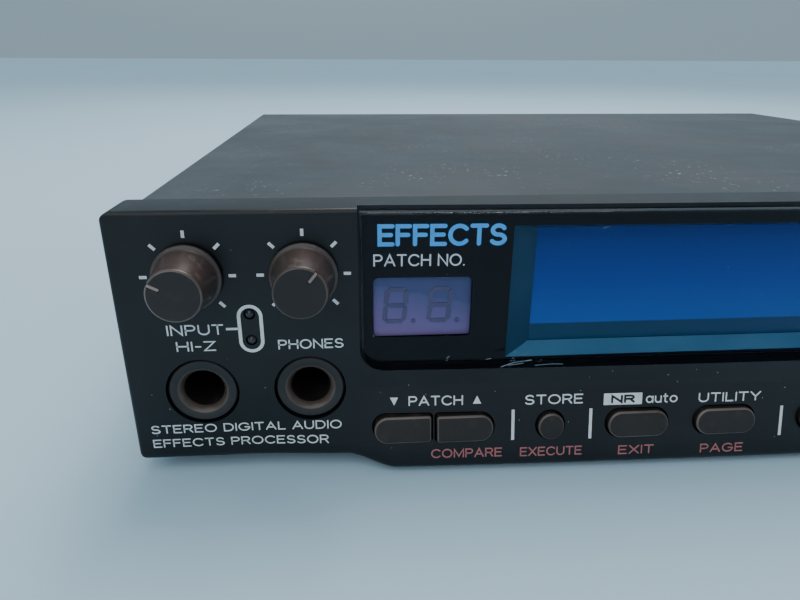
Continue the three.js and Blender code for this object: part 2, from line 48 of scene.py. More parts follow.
# ---- row frame
# Shapes are worked out in millimetres from the panel's lower left corner (X right, Y into the case,
# Z up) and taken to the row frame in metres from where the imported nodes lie.
panel_lo, panel_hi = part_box("front_panel")
PANEL_W, PANEL_H, PANEL_DEPTH = 207.0, 44.0, 8.2
BANK_DROP, END_LIFT = 1.2, 0.7
TO_ROW = Matrix.Translation(
    (panel_lo.x, panel_hi.y - PANEL_DEPTH / 1000, panel_lo.z + BANK_DROP / 1000)
) @ Matrix.Scale(0.001, 4)

scene = bpy.context.scene
store = scene.collection


# ---- mesh helpers
def mesh_object(name, verts, faces):
    me = bpy.data.meshes.new(name)
    me.from_pydata([tuple(v) for v in verts], [], faces)
    me.update()
    ob = bpy.data.objects.new(name, me)
    store.objects.link(ob)
    return ob


def clean_normals(ob):
    bm = bmesh.new()
    bm.from_mesh(ob.data)
    bmesh.ops.recalc_face_normals(bm, faces=bm.faces)
    bm.to_mesh(ob.data)
    bm.free()


def rings(name, sections):
    """Solid through closed rings with equal counts; ends are capped."""
    n = len(sections[0])
    last = (len(sections) - 1) * n
    verts = [v for s in sections for v in s]
    faces = []
    for row in range(0, last, n):
        for i in range(n):
            j = (i + 1) % n
            faces.append((row + i, row + j, row + n + j, row + n + i))
    faces.append(tuple(range(n)))
    faces.append(tuple(range(last, last + n)))
    ob = mesh_object(name, verts, faces)
    clean_normals(ob)
    return ob


def bend(cx, cz, rx, rz, a0, a1, n):
    """Points along an ellipse between two angles in degrees."""
    angles = [math.radians(a0 + (a1 - a0) * i / n) for i in range(n + 1)]
    return [(cx + rx * math.cos(a), cz + rz * math.sin(a)) for a in angles]


def arc(cx, cz, r, a0, a1, n):
    return bend(cx, cz, r, r, a0, a1, n)


def quarter(n):
    """A quarter round in n steps, as (1 - sine, 1 - cosine)."""
    angles = [math.radians(90 * i / n) for i in range(n + 1)]
    return [(1 - math.sin(a), 1 - math.cos(a)) for a in angles]


def edge_inset(r, e):
    """How far a round of radius r stands back at distance e from the edge."""
    return r - math.sqrt(r * r - (r - e) ** 2) if e < r else 0


def spaced(start, stop, step):
    out = []
    while start < stop:
        out.append(start)
        start += step
    return out


def rounded(x0, x1, z0, z1, radii, n=8):
    """Outline with a radius for lower left, lower right, upper right and upper left."""
    a, b, c, d = radii if isinstance(radii, (tuple, list)) else (radii,) * 4
    out = arc(x0 + a, z0 + a, a, 180, 270, n)
    out += arc(x1 - b, z0 + b, b, 270, 360, n)
    out += arc(x1 - c, z1 - c, c, 0, 90, n)
    out += arc(x0 + d, z1 - d, d, 90, 180, n)
    return out


def prism_y(name, outline, y0, y1):
    return rings(name, [[(x, y, z) for x, z in outline] for y in (y0, y1)])


def prism_x(name, outline, x0, x1):
    return rings(name, [[(x, y, z) for y, z in outline] for x in (x0, x1)])


def prism_z(name, outline, z0, z1):
    return rings(name, [[(x, y, z) for x, y in outline] for z in (z0, z1)])


def block(name, x0, x1, y0, y1, z0, z1):
    return prism_y(name, [(x0, z0), (x1, z0), (x1, z1), (x0, z1)], y0, y1)


def turned(name, profile, n=64, axis="y", at=(0, 0, 0)):
    """Body of revolution from (radius, along) pairs. The profile ends on the axis, or closes."""
    verts, faces = [], []
    closed = profile[0][0] > 1e-6
    index = []
    for r, t in profile:
        if r < 1e-6:
            index.append([len(verts)])
            verts.append((0, t, 0))
        else:
            index.append(list(range(len(verts), len(verts) + n)))
            for k in range(n):
                a = 2 * math.pi * k / n
                verts.append((r * math.sin(a), t, r * math.cos(a)))
    pairs = list(zip(range(len(profile) - 1), range(1, len(profile))))
    if closed:
        pairs.append((len(profile) - 1, 0))
    for p, q in pairs:
        a, b = index[p], index[q]
        for k in range(n):
            m = (k + 1) % n
            if len(a) == 1 and len(b) == 1:
                continue
            if len(a) == 1:
                faces.append((a[0], b[m], b[k]))
            elif len(b) == 1:
                faces.append((a[k], a[m], b[0]))
            else:
                faces.append((a[k], a[m], b[m], b[k]))
    ob = mesh_object(name, verts, faces)
    if axis == "z":
        ob.data.transform(Matrix.Rotation(math.radians(90), 4, "X"))
    elif axis == "x":
        ob.data.transform(Matrix.Rotation(math.radians(-90), 4, "Z"))
    ob.data.transform(Matrix.Translation(at))
    clean_normals(ob)
    return ob


def plug(x, z, r, y0, y1, n=48):
    """A cylinder along Y, mostly to cut with."""
    return turned("t", [(0, y0), (r, y0), (r, y1), (0, y1)], n, at=(x, 0, z))


def combine(name, obs):
    """One object from several, without a boolean."""
    verts, faces = [], []
    for ob in obs:
        base = len(verts)
        verts += [v.co.copy() for v in ob.data.vertices]
        faces += [tuple(base + i for i in p.vertices) for p in ob.data.polygons]
        bpy.data.objects.remove(ob)
    return mesh_object(name, verts, faces)


def boolean(ob, tool, operation="DIFFERENCE", solver="MANIFOLD"):
    mod = ob.modifiers.new("cut", "BOOLEAN")
    mod.operation = operation
    mod.object = tool
    mod.solver = solver
    dg = bpy.context.evaluated_depsgraph_get()
    dg.update()
    me = bpy.data.meshes.new_from_object(ob.evaluated_get(dg))
    ob.modifiers.clear()
    old = ob.data
    ob.data = me
    me.name = ob.name
    bpy.data.meshes.remove(old)
    bpy.data.objects.remove(tool)


def finish_piece(
    ob, mats, body=ROOT, replaces=(), slot=None, bevel=0.0, segments=2, angle=35, smooth=35
):
    """To the row frame, with edges, shading, material, and the body it rides on."""
    ob.data.transform(TO_ROW)
    me = ob.data
    me.materials.clear()
    for m in mats if isinstance(mats, (list, tuple)) else [mats]:
        me.materials.append(m)
    bm = bmesh.new()
    bm.from_mesh(me)
    bmesh.ops.dissolve_degenerate(bm, edges=bm.edges, dist=1e-7)
    for f in bm.faces:
        f.smooth = True
    for e in bm.edges:
        if len(e.link_faces) == 2:
            e.smooth = e.calc_face_angle(0) < math.radians(smooth)
        else:
            e.smooth = False
    bm.to_mesh(me)
    bm.free()
    if bevel:
        mod = ob.modifiers.new("edges", "BEVEL")
        mod.width = bevel / 1000
        mod.segments = segments
        mod.limit_method = "ANGLE"
        mod.angle_limit = math.radians(angle)
        mod.use_clamp_overlap = True
        mod.harden_normals = True
    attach(ob, body)
    if replaces:
        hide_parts(*([replaces] if isinstance(replaces, str) else replaces))


def mark_faces(ob, indices):
    """Give each face its material, if finishing has kept the number of faces."""
    if len(ob.data.polygons) == len(indices):
        ob.data.polygons.foreach_set("material_index", indices)


# ---- materials
class Nodes:
    def __init__(self, name):
        self.mat = bpy.data.materials.new(name)
        self.mat.use_nodes = True
        self.tree = self.mat.node_tree
        self.tree.nodes.clear()
        self.out = self.tree.nodes.new("ShaderNodeOutputMaterial")

    def add(self, kind, inputs=(), **attributes):
        node = self.tree.nodes.new(kind)
        for key, value in attributes.items():
            setattr(node, key, value)
        for key, value in dict(inputs).items():
            self.put(node.inputs[key], value)
        return node

    def link(self, a, b):
        self.tree.links.new(a, b)

    def put(self, socket, value):
        """A number or a colour is set, and a socket is linked."""
        if isinstance(value, (int, float)):
            socket.default_value = value
        elif isinstance(value, (tuple, list)):
            socket.default_value = (*value, 1)
        else:
            self.link(value, socket)

    def coords(self, scale=(1, 1, 1), rot=(0, 0, 0)):
        tex = self.add("ShaderNodeTexCoord")
        mapping = self.add("ShaderNodeMapping")
        mapping.inputs["Scale"].default_value = scale
        mapping.inputs["Rotation"].default_value = rot
        self.link(tex.outputs["Object"], mapping.inputs["Vector"])
        return mapping.outputs["Vector"]

    def noise(self, scale, detail=3, rough=0.55, vector=None):
        place = self.coords() if vector is None else vector
        inputs = {"Scale": scale, "Detail": detail, "Roughness": rough, "Vector": place}
        return self.add("ShaderNodeTexNoise", inputs).outputs["Fac"]

    def ramp(self, fac, stops):
        r = self.add("ShaderNodeValToRGB")
        while len(r.color_ramp.elements) < len(stops):
            r.color_ramp.elements.new(0.5)
        for e, (pos, col) in zip(r.color_ramp.elements, stops):
            e.position = pos
            e.color = (*col, 1) if isinstance(col, (tuple, list)) else (col, col, col, 1)
        self.link(fac, r.inputs["Fac"])
        return r.outputs["Color"]

    def cloud(self, scale, detail, low, high, values=(0.0, 1.0), rough=0.55):
        """Blotches of noise between two values."""
        return self.ramp(self.noise(scale, detail, rough), list(zip((low, high), values)))

    def math(self, op, a, b):
        return self.add("ShaderNodeMath", {0: a, 1: b}, operation=op).outputs[0]

    def mix(self, fac, a, b):
        return self.add("ShaderNodeMix", {0: fac, 6: a, 7: b}, data_type="RGBA").outputs[2]

    def bump(self, height, strength, distance):
        inputs = {"Strength": strength, "Distance": distance, "Height": height}
        return self.add("ShaderNodeBump", inputs).outputs["Normal"]

    def grain(self, scale, detail, strength, distance):
        return self.bump(self.noise(scale, detail), strength, distance)

    def upness(self):
        geo = self.add("ShaderNodeNewGeometry")
        sep = self.add("ShaderNodeSeparateXYZ")
        self.link(geo.outputs["Normal"], sep.inputs[0])
        return sep.outputs["Z"]

    def across(self, node, axis):
        """0 to 1 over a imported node's box along one axis."""
        sep = self.add("ShaderNodeSeparateXYZ")
        self.link(self.coords(), sep.inputs[0])
        lo, hi = (getattr(corner, axis.lower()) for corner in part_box(node))
        return self.math("DIVIDE", self.math("SUBTRACT", sep.outputs[axis], lo), hi - lo)

    def surface(self, shader):
        """Finish with this shader, and return the material."""
        self.link(shader.outputs[0], self.out.inputs["Surface"])
        return self.mat

    def principled(self, colour, rough, normal=None, metallic=0.0, spec=0.5):
        inputs = {
            "Base Color": colour, "Roughness": rough, "Metallic": metallic, "Specular IOR Level": spec,
        }
        if normal is not None:
            inputs["Normal"] = normal
        return self.surface(self.add("ShaderNodeBsdfPrincipled", inputs))


def speckle_mask(g, scale, low, high):
    """Small scattered specks, such as dust, thinned out by a broad noise."""
    vor = g.add("ShaderNodeTexVoronoi", {"Scale": scale, "Vector": g.coords()}, feature="F1")
    dots = g.ramp(vor.outputs["Distance"], [(0.0, 1.0), (low, 1.0), (high, 0.0)])
    return g.math("MULTIPLY", dots, g.cloud(38, 5, 0.46, 0.66))


def scratch_mask(g, angle, scale, low, high):
    """Thin long scratches along one direction."""
    vec = g.coords(scale=scale, rot=(0, 0, math.radians(angle)))
    n = g.noise(1.0, 2, 0.5, vec)
    band = g.ramp(n, [(low, 0.0), ((low + high) / 2, 1.0), (high, 0.0)])
    return g.math("MULTIPLY", band, g.cloud(22, 3, 0.55, 0.72))


def plastic(name, dark, light, roughness, grain, dust, dust_colour=(0.32, 0.3, 0.29), spec=0.5):
    """Moulded plastic. Grain is (scale, strength), and dust gathers on what faces up."""
    g = Nodes(name)
    colour = g.mix(g.cloud(60, 5, 0.35, 0.7), dark, light)
    if dust:
        up = g.ramp(g.upness(), [(0.1, 0.15), (0.9, 1.0)])
        patch = g.cloud(380, 4, 0.56, 0.78, rough=0.7)
        amount = g.math("MULTIPLY", g.math("MULTIPLY", up, patch), dust)
        colour = g.mix(amount, colour, dust_colour)
    rough = g.cloud(140, 4, 0.3, 0.75, roughness)
    return g.principled(colour, rough, g.grain(grain[0], 2, grain[1], 0.00004), spec=spec)


def simple(name, a, b, roughness, metallic=0.0, scale=200):
    """Two shades in soft blotches."""
    g = Nodes(name)
    colour = g.mix(g.cloud(scale, 4, 0.35, 0.7), a, b)
    rough = g.cloud(scale * 1.7, 3, 0.3, 0.75, roughness)
    return g.principled(colour, rough, g.grain(1500, 2, 0.15, 0.00003), metallic=metallic)


def make_print(name, colour, worn):
    g = Nodes(name)
    fade = g.cloud(900, 4, 0.35, 0.8)
    return g.principled(g.mix(fade, colour, worn), 0.55, g.grain(4000, 2, 0.1, 0.00002))


# key: name, dark and light shade, roughness range, grain, dust
PLASTICS = {
    "jack": ("jack_plastic", (0.010, 0.0085, 0.008), (0.020, 0.015, 0.014), (0.30, 0.42), (3000, 0.2), 0.1),
    "rubber": ("foot_rubber", (0.010, 0.010, 0.010), (0.022, 0.021, 0.021), (0.7, 0.9), (1500, 0.6), 0.4),
    # rim: lighter brown for the rounded front edges of knobs and keys, partly wear and partly a painted
    # highlight
    "rim": ("worn_rim_and_highlight", (0.055, 0.038, 0.032), (0.20, 0.145, 0.125), (0.28, 0.40), (1800, 0.4), 0.0),
    # lip: lighter brown on the chamfer at the mouth of the jack bores, a painted highlight
    "lip": ("socket_lip_highlight", (0.060, 0.040, 0.032), (0.095, 0.066, 0.052), (0.26, 0.36), (1800, 0.2), 0.0),
    "notch": ("pointer_fill", (0.22, 0.16, 0.145), (0.34, 0.26, 0.24), (0.4, 0.55), (1800, 0.3), 0.0),
}
# key: name, two shades, roughness range, and where they differ metallic and blotch scale
SIMPLE = {
    "zinc": ("zinc_plate", (0.42, 0.42, 0.43), (0.55, 0.55, 0.56), (0.22, 0.4), 1.0),
    "plated": ("tin_plate", (0.55, 0.55, 0.55), (0.66, 0.66, 0.65), (0.25, 0.42), 1.0),
    "aluminium": ("aluminium", (0.6, 0.6, 0.61), (0.72, 0.72, 0.73), (0.3, 0.45), 1.0),
    "board": ("circuit_board", (0.012, 0.10, 0.035), (0.02, 0.15, 0.06), (0.35, 0.5), 0.0, 500),
    "chip": ("chip_plastic", (0.012, 0.012, 0.012), (0.022, 0.022, 0.022), (0.45, 0.6)),
    "diffuser": ("light_diffuser", (0.62, 0.66, 0.70), (0.72, 0.75, 0.78), (0.4, 0.55)),
    "ribbon": ("ribbon_plastic", (0.28, 0.28, 0.29), (0.36, 0.36, 0.37), (0.5, 0.6)),
    "digit_bar": ("digit_bar", (0.085, 0.075, 0.15), (0.11, 0.09, 0.18), (0.3, 0.4)),
    "led": ("clear_led", (0.020, 0.021, 0.024), (0.035, 0.035, 0.038), (0.04, 0.09)),
}
# key: name, fresh and worn shade
INKS = {
    "white": ("print_white", (0.74, 0.76, 0.78), (0.56, 0.58, 0.60)),
    "red": ("print_red", (0.42, 0.13, 0.13), (0.30, 0.095, 0.10)),
    "blue": ("print_blue", (0.06, 0.42, 0.95), (0.04, 0.33, 0.82)),
    "scuff": ("scuffed_acrylic", (0.20, 0.27, 0.33), (0.05, 0.07, 0.09)),
    "dust": ("loose_dust", (0.55, 0.56, 0.56), (0.25, 0.26, 0.27)),
}
M = {key: plastic(*values) for key, values in PLASTICS.items()}
M.update({key: simple(*values) for key, values in SIMPLE.items()})
M.update({key: make_print(*values) for key, values in INKS.items()})
M["panel"] = plastic(
    "panel_moulding", (0.0035, 0.0045, 0.006), (0.007, 0.0085, 0.0105), (0.28, 0.37), (3400, 0.2), 0.06,
    spec=0.34,
)
M["knob"] = plastic(
    "control_plastic", (0.013, 0.0100, 0.0095), (0.024, 0.018, 0.0165), (0.36, 0.48), (2200, 0.3), 0.35,
    (0.22, 0.16, 0.145), spec=0.36,
)
# The knobs' skirt: a lighter copy of the knob plastic, a painted sheen of the light on the sides, with dust
# where it faces up.
M["side"] = plastic(
    "control_side_painted_sheen", (0.040, 0.028, 0.025), (0.075, 0.053, 0.047), (0.34, 0.46), (1800, 0.4), 0.5,
    (0.30, 0.22, 0.20),
)
# Lining of the display opening in the dark panel plastic: painted blue light on its walls, and a lighter
# copy for the lower ledge, painted light where it is lit.
for key, name, dark, light in (
    ("bezel", "display_bezel", (0.014, 0.050, 0.088), (0.022, 0.070, 0.115)),
    ("bezel_lit_ledge", "display_bezel_lit_ledge", (0.060, 0.17, 0.27), (0.085, 0.22, 0.33)),
):
    M[key] = plastic(name, dark, light, (0.30, 0.42), (1500, 0.1), 0.0, spec=0.3)


def make_case_paint():
    """Painted steel with a dusty film and specks on top, and fine scratches."""
    g = Nodes("case_paint")
    base = g.mix(g.cloud(28, 6, 0.3, 0.75), (0.012, 0.0135, 0.016), (0.020, 0.022, 0.026))
    film = g.cloud(16, 7, 0.42, 0.75, rough=0.62)
    up = g.ramp(g.upness(), [(0.2, 0.0), (0.9, 1.0)])
    film_amount = g.math("MULTIPLY", g.math("MULTIPLY", film, up), 0.10)
    base = g.mix(film_amount, base, (0.30, 0.29, 0.28))
    specks = g.math("MAXIMUM", speckle_mask(g, 300, 0.07, 0.13), speckle_mask(g, 640, 0.10, 0.17))
    speck_amount = g.math("MULTIPLY", specks, g.math("MULTIPLY", up, 0.55))
    base = g.mix(speck_amount, base, (0.60, 0.58, 0.55))
    along = scratch_mask(g, 8, (6, 900, 1), 0.60, 0.64)
    across = scratch_mask(g, 62, (9, 700, 1), 0.62, 0.65)
    scratches = g.math("MULTIPLY", g.math("MAXIMUM", along, across), 0.35)
    base = g.mix(scratches, base, (0.24, 0.235, 0.23))
    return g.principled(base, g.cloud(60, 5, 0.3, 0.75, (0.26, 0.40)), g.grain(2600, 3, 0.45, 0.00005))


M["case"] = make_case_paint()


def make_lens_mask():
    g = Nodes("lens_mask")
    colour = g.mix(g.cloud(40, 4, 0.3, 0.8), (0.0016, 0.002, 0.003), (0.003, 0.004, 0.0055))
    return g.principled(colour, g.cloud(90, 4, 0.3, 0.8, (0.10, 0.17)), spec=0.22)


M["mask"] = make_lens_mask()


def make_lens_clear():
    """The lens's edges and back: clear, with a gloss that grows towards grazing angles."""
    g = Nodes("lens_acrylic")
    smear = g.cloud(70, 5, 0.35, 0.8, (0.015, 0.06), rough=0.6)
    normal = g.grain(9, 1, 0.02, 0.0002)
    fres = g.add("ShaderNodeFresnel", {"IOR": 1.27, "Normal": normal})
    outer = g.math("SUBTRACT", 1.0, g.add("ShaderNodeNewGeometry").outputs["Backfacing"])
    amount = g.math("MULTIPLY", fres.outputs[0], outer)
    gloss = g.add("ShaderNodeBsdfGlossy", {"Roughness": smear, "Color": (1, 1, 1), "Normal": normal})
    clear = g.add("ShaderNodeBsdfTransparent", {"Color": (0.93, 0.94, 0.97)})
    shaders = {0: amount, 1: clear.outputs[0], 2: gloss.outputs[0]}
    return g.surface(g.add("ShaderNodeMixShader", shaders))


M["lens"] = make_lens_clear()


def make_lens_face():
    """The broad clear face. The gloss seen there is the printed layer's and the display's."""
    g = Nodes("lens_face")
    tint = g.ramp(g.noise(30, 3), [(0.3, (0.90, 0.92, 0.95)), (0.8, (0.94, 0.95, 0.97))])
    return g.surface(g.add("ShaderNodeBsdfTransparent", {"Color": tint}))


M["lens_face"] = make_lens_face()


def make_lcd():
    """Blue that deepens upwards, over a teal strip along the bottom."""
    g = Nodes("lcd_blue")
    colour = g.ramp(
        g.across("lcd_glass", "Z"),
        [
            (0.0, (0.006, 0.060, 0.115)),
            (0.215, (0.005, 0.048, 0.092)),
            (0.222, (0.006, 0.105, 0.40)),
            (0.55, (0.004, 0.056, 0.30)),
            (1.0, (0.0025, 0.026, 0.175)),
        ],
    )
    colour = g.mix(g.math("MULTIPLY", g.cloud(26, 3, 0.3, 0.8), 0.35), colour, (0.004, 0.04, 0.24))
    return g.principled(colour, g.cloud(120, 3, 0.3, 0.8, (0.16, 0.26)), spec=0.3)


M["lcd"] = make_lcd()


def make_digit_face():
    """Violet at the lower left to blue at the upper right."""
    g = Nodes("digit_face")
    lean = g.math("MULTIPLY", g.across("led_display", "X"), 0.35)
    slant = g.math("ADD", g.across("led_display", "Z"), lean)
    soft = g.math("ADD", slant, g.math("MULTIPLY", g.noise(220, 3), 0.25))
    colour = g.ramp(
        soft,
        [
            (0.1, (0.24, 0.15, 0.30)),
            (0.55, (0.19, 0.14, 0.31)),
            (0.95, (0.11, 0.11, 0.24)),
            (1.0, (0.08, 0.09, 0.20)),
        ],
    )
    return g.principled(colour, 0.3, g.grain(1500, 2, 0.06, 0.00002), spec=0.3)


M["digit_face"] = make_digit_face()

# ---- shape of the front, as in the solids
BOW, BOW_MID, BOW_HALF = 1.3, 122.5, 82.0
SLOPE_TOP, SLOPE = 13.3, 0.2126
BANK_X0, BANK_X1 = 35, 205
BANK_IN, BANK_OUT = (BANK_X0, 44), (200.6, BANK_X1)
EDGE_R, WALL = 0.7, 2.2
LENS = (38.2, 203.8, 16.8, 43.5)
LENS_PROUD, LENS_T, LENS_CORNER, LENS_EDGE = 1.0, 2.9, 3.7, 0.3
LENS_BACK = LENS_T - LENS_PROUD
LCD_WIN = (62.45, 182.6, 17.5, 40.7)
DIGIT_WIN = (40.2, 56.3, 21.8, 32.3)
# The display opening runs straight in, then draws in by TAPER (sides, bottom, top) to its full depth.
OPENING_STRAIGHT, OPENING_DEPTH, TAPER = 1.5, 4.7, (4.9, 1.6, 1.3)
BUTTON_Z, BUTTON_H, BUTTON_OUT, BUTTON_BACK = 6.2, 4.6, 0.9, 6.4
HALF = BUTTON_H / 2
CAP_W, PAIR_W, PILL_W, ROUND_W = 9.75, 20.4, 10.75, 4.62
KNOB_X, KNOB_Z, KNOB_OUT = (11.9, 29.5), 33.8, 8.6
POINTER = (153, 51)
JACK_Z, LED_X, LED_Z = 13.6, 20.6, (27.3, 22.8)


def smoothstep(a, b, x):
    t = min(1, max(0, (x - a) / (b - a)))
    return t * t * (3 - 2 * t)


def bow(x):
    return BOW * max(0, 1 - ((x - BOW_MID) / BOW_HALF) ** 2)


def bank_rise(x):
    return smoothstep(*BANK_IN, x) * (1 - smoothstep(*BANK_OUT, x))


def face_y(x, z):
    """Depth of the panel's face, which bows outwards and leans out over the button bank."""
    below = max(0, SLOPE_TOP - z)
    rise = bank_rise(x)
    lead = 1.05 * smoothstep(19, 36, x) * (1 - smoothstep(*BANK_OUT, x))
    return -bow(x) - (1 - rise) * lead * (min(12, below) / 12) ** 2 - rise * SLOPE * below


def panel_section(x):
    inset = edge_inset(EDGE_R, min(x, PANEL_W - x))
    bottom = END_LIFT - (END_LIFT + BANK_DROP) * bank_rise(x)
    top = face_y(x, PANEL_H) + inset
    ring = [(x, PANEL_DEPTH, PANEL_H)]
    ring += [(x, top + EDGE_R * a, PANEL_H - EDGE_R * b) for a, b in quarter(5)]
    for z in (17, 14.2, 13.7, 13.3, 12.9, 12.4, 11, 9, 7, 5, 3, bottom + 1.2):
        y = (face_y(x, z - 0.4) + face_y(x, z + 0.4)) / 2 if 12 < z < 17 else face_y(x, z)
        ring.append((x, y + inset, z))
    low = face_y(x, bottom + 1.2) + inset
    for y, z in ((0.04, 0.7), (0.16, 0.35), (0.42, 0.11), (0.85, 0.0)):
        ring.append((x, low + y, bottom + z))
    ring.append((x, PANEL_DEPTH, bottom))
    return ring


def lens_outline(grow, top):
    corner = LENS_CORNER + grow
    sides = (LENS[0] - grow, LENS[1] + grow, LENS[2] - grow, top)
    return rounded(*sides, (corner, corner, 0.6, 0.6), 10)


def bowed_slab(name, front, back):
    """A slab that follows the bow, past both ends of the lens."""
    x0, x1, steps = 30.0, 206.9, 44
    xs = [x0 + (x1 - x0) * i / steps for i in range(steps + 1)]
    outline = [(x, front - bow(x)) for x in xs] + [(x, back - bow(x)) for x in reversed(xs)]
    return prism_z(name, outline, 0, 50)


# name, x0, x1, corner radii
BUTTONS = []


def add_pair(x0, left, right):
    r = HALF - 0.02
    BUTTONS.append((left, x0, x0 + CAP_W, (r, 0.45, 0.45, r)))
    BUTTONS.append((right, x0 + PAIR_W - CAP_W, x0 + PAIR_W, (0.45, r, r, 0.45)))


def add_single(cx, width, name):
    r = HALF - 0.005
    BUTTONS.append((name, cx - width / 2, cx + width / 2, (r, r, r, r)))


add_pair(40.0, "patch_down", "patch_up")
add_single(70.4, ROUND_W, "store")
add_single(85.7, PILL_W, "exit")
add_single(101.4, PILL_W, "page")
add_pair(115.0, "effect_down", "effect_up")
add_pair(142.2, "parameter_down", "parameter_up")
add_pair(169.4, "value_down", "value_up")
add_single(197.4, ROUND_W, "bypass")


def button_outline(b, grow, n=8):
    _, x0, x1, radii = b
    low, high = BUTTON_Z - HALF - grow, BUTTON_Z + HALF + grow
    return rounded(x0 - grow, x1 + grow, low, high, [max(r + grow, 0.03) for r in radii], n)


# ---- front panel
def window_ring(y, side_gap=0.0, gap=0.0):
    """Corners of the display opening at depth y, drawn in by the gaps."""
    t = max(0, (y - OPENING_STRAIGHT) / (OPENING_DEPTH - OPENING_STRAIGHT))
    side, low, high = (c * t for c in TAPER)
    x0, x1 = LCD_WIN[0] + side + side_gap, LCD_WIN[1] - side - side_gap
    z0, z1 = LCD_WIN[2] + low + gap, LCD_WIN[3] - high - gap
    return [(x0, y, z0), (x1, y, z0), (x1, y, z1), (x0, y, z1)]


def build_panel():
    xs = [0, 0.05, 0.15, 0.3, 0.5, 0.7, 8, 19]
    xs += spaced(21.0, 35, 2) + spaced(35.0, 45, 0.5) + spaced(48.0, 200, 4) + spaced(201.0, 206.3, 0.5)
    xs += [206.3, 206.5, 206.7, 206.85, 206.95, PANEL_W]
    ob = rings("panel_moulding", [panel_section(x) for x in xs])
    r = 2
    right, low, high, below = PANEL_W - r, END_LIFT, PANEL_H - r, -4
    outline = arc(r, low + r, r, 180, 270, 8) + [(30, low), (30, below), (BANK_X1, below), (BANK_X1, low)]
    outline += arc(right, low + r, r, 270, 360, 8)[1:] + arc(right, high, r, 0, 90, 8)
    outline += arc(r, high, r, 90, 180, 8)
    boolean(ob, prism_y("t", outline, -20, 20), "INTERSECT")
    inside = PANEL_H - WALL
    for tool in (
        block("t", WALL, PANEL_W - WALL, 4.4, 20, WALL, inside),
        block("t", WALL, 37.2, WALL, 5, WALL, inside),
        prism_x("t", [(WALL, 14.6), (-0.4, 1.0), (6, 1.0), (6, 14.6)], 45, 200),
    ):
        boolean(ob, tool)
    pocket = prism_y("t", lens_outline(0.3, PANEL_H + 3), -20, 10)
    boolean(pocket, bowed_slab("u", -20, LENS_BACK + 0.3), "INTERSECT")
    boolean(ob, pocket)
    boolean(ob, rings("t", [window_ring(y) for y in (-0.5, OPENING_STRAIGHT, OPENING_DEPTH)]))
    x0, x1, z0, z1 = DIGIT_WIN
    holes = [prism_y("t", rounded(x0 - 0.2, x1 + 0.2, z0 - 0.2, z1 + 0.2, 0.8), -3, 6)]
    for x in KNOB_X:
        holes += [plug(x, KNOB_Z, 4.3, -4, 6), plug(x, JACK_Z, 5.95, -4, 6, 72)]
    holes += [plug(LED_X, z, 0.92, -4, 6, 32) for z in LED_Z]
    holes += [prism_y("t", button_outline(b, 0.33), -12, 6.5) for b in BUTTONS]
    boolean(ob, combine("t", holes))
    finish_piece(
        ob, M["panel"], replaces="front_panel", slot="panel_plastic", bevel=0.14, angle=38, smooth=32
    )


build_panel()


# ---- lens with its printed mask
def lens_section(x):
    """Closed ring of the slab at x, with rounded edges and a rounded lower corner."""
    x0, x1, z0, top = LENS
    e = min(x - x0, x1 - x)
    low = z0 + edge_inset(LENS_CORNER, e)
    r = LENS_EDGE
    front, rear = -LENS_PROUD - bow(x) + edge_inset(r, e), LENS_BACK - bow(x)
    ring = [(x, rear, top - 0.1), (x, rear - 0.1, top)]
    ring += [(x, front + r * a, top - r * b) for a, b in quarter(4)]
    ring += [(x, front, top - r - 0.12), (x, front, low + r + 0.12)]
    ring += [(x, front + r * b, low + r * a) for a, b in quarter(4)]
    return ring + [(x, rear - 0.1, low), (x, rear, low + 0.1)]


def build_lens():
    left, right, middle = LENS[0], LENS[1], LENS[1] - LENS[0] - 2 * LENS_CORNER
    ends = [0, 0.02, 0.07, 0.15, 0.3, 0.42, 0.7, 1.1, 1.6, 2.2, 2.9, LENS_CORNER]
    xs = [left + e for e in ends]
    xs += [left + LENS_CORNER + middle * i / 60 for i in range(1, 60)]
    xs += [right - e for e in reversed(ends)]
    slab = rings("lens_acrylic_slab", [lens_section(x) for x in xs])
    clear_faces = [1 if f.normal.y < -0.985 else 0 for f in slab.data.polygons]
    mats = [M["lens"], M["lens_face"]]
    finish_piece(slab, mats, replaces="display_lens", slot="lens_acrylic", smooth=40)
    mark_faces(slab, clear_faces)

    mask = prism_y("lens_mask", lens_outline(-0.25, LENS[3] - 0.25), -20, 20)
    boolean(mask, bowed_slab("u", LENS_BACK - 0.12, LENS_BACK - 0.04), "INTERSECT")
    windows = [prism_y("t", rounded(*w, r), -6, 6) for w, r in ((LCD_WIN, 0.3), (DIGIT_WIN, 1.0))]
    boolean(mask, combine("t", windows))
    finish_piece(mask, M["mask"], slot="lens_acrylic")


build_lens()

# ---- segment display and blue display
into_mm = TO_ROW.inverted()
digit_lo, digit_hi = (into_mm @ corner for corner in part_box("led_display"))
face = prism_y(
    "digit_window", rounded(digit_lo.x, digit_hi.x, digit_lo.z, digit_hi.z, 0.5), digit_lo.y, digit_hi.y
)
finish_piece(face, M["digit_face"], replaces="led_display", slot="digit_block", bevel=0.1)
BAR_Y = (digit_lo.y - 0.12, digit_lo.y - 0.02)


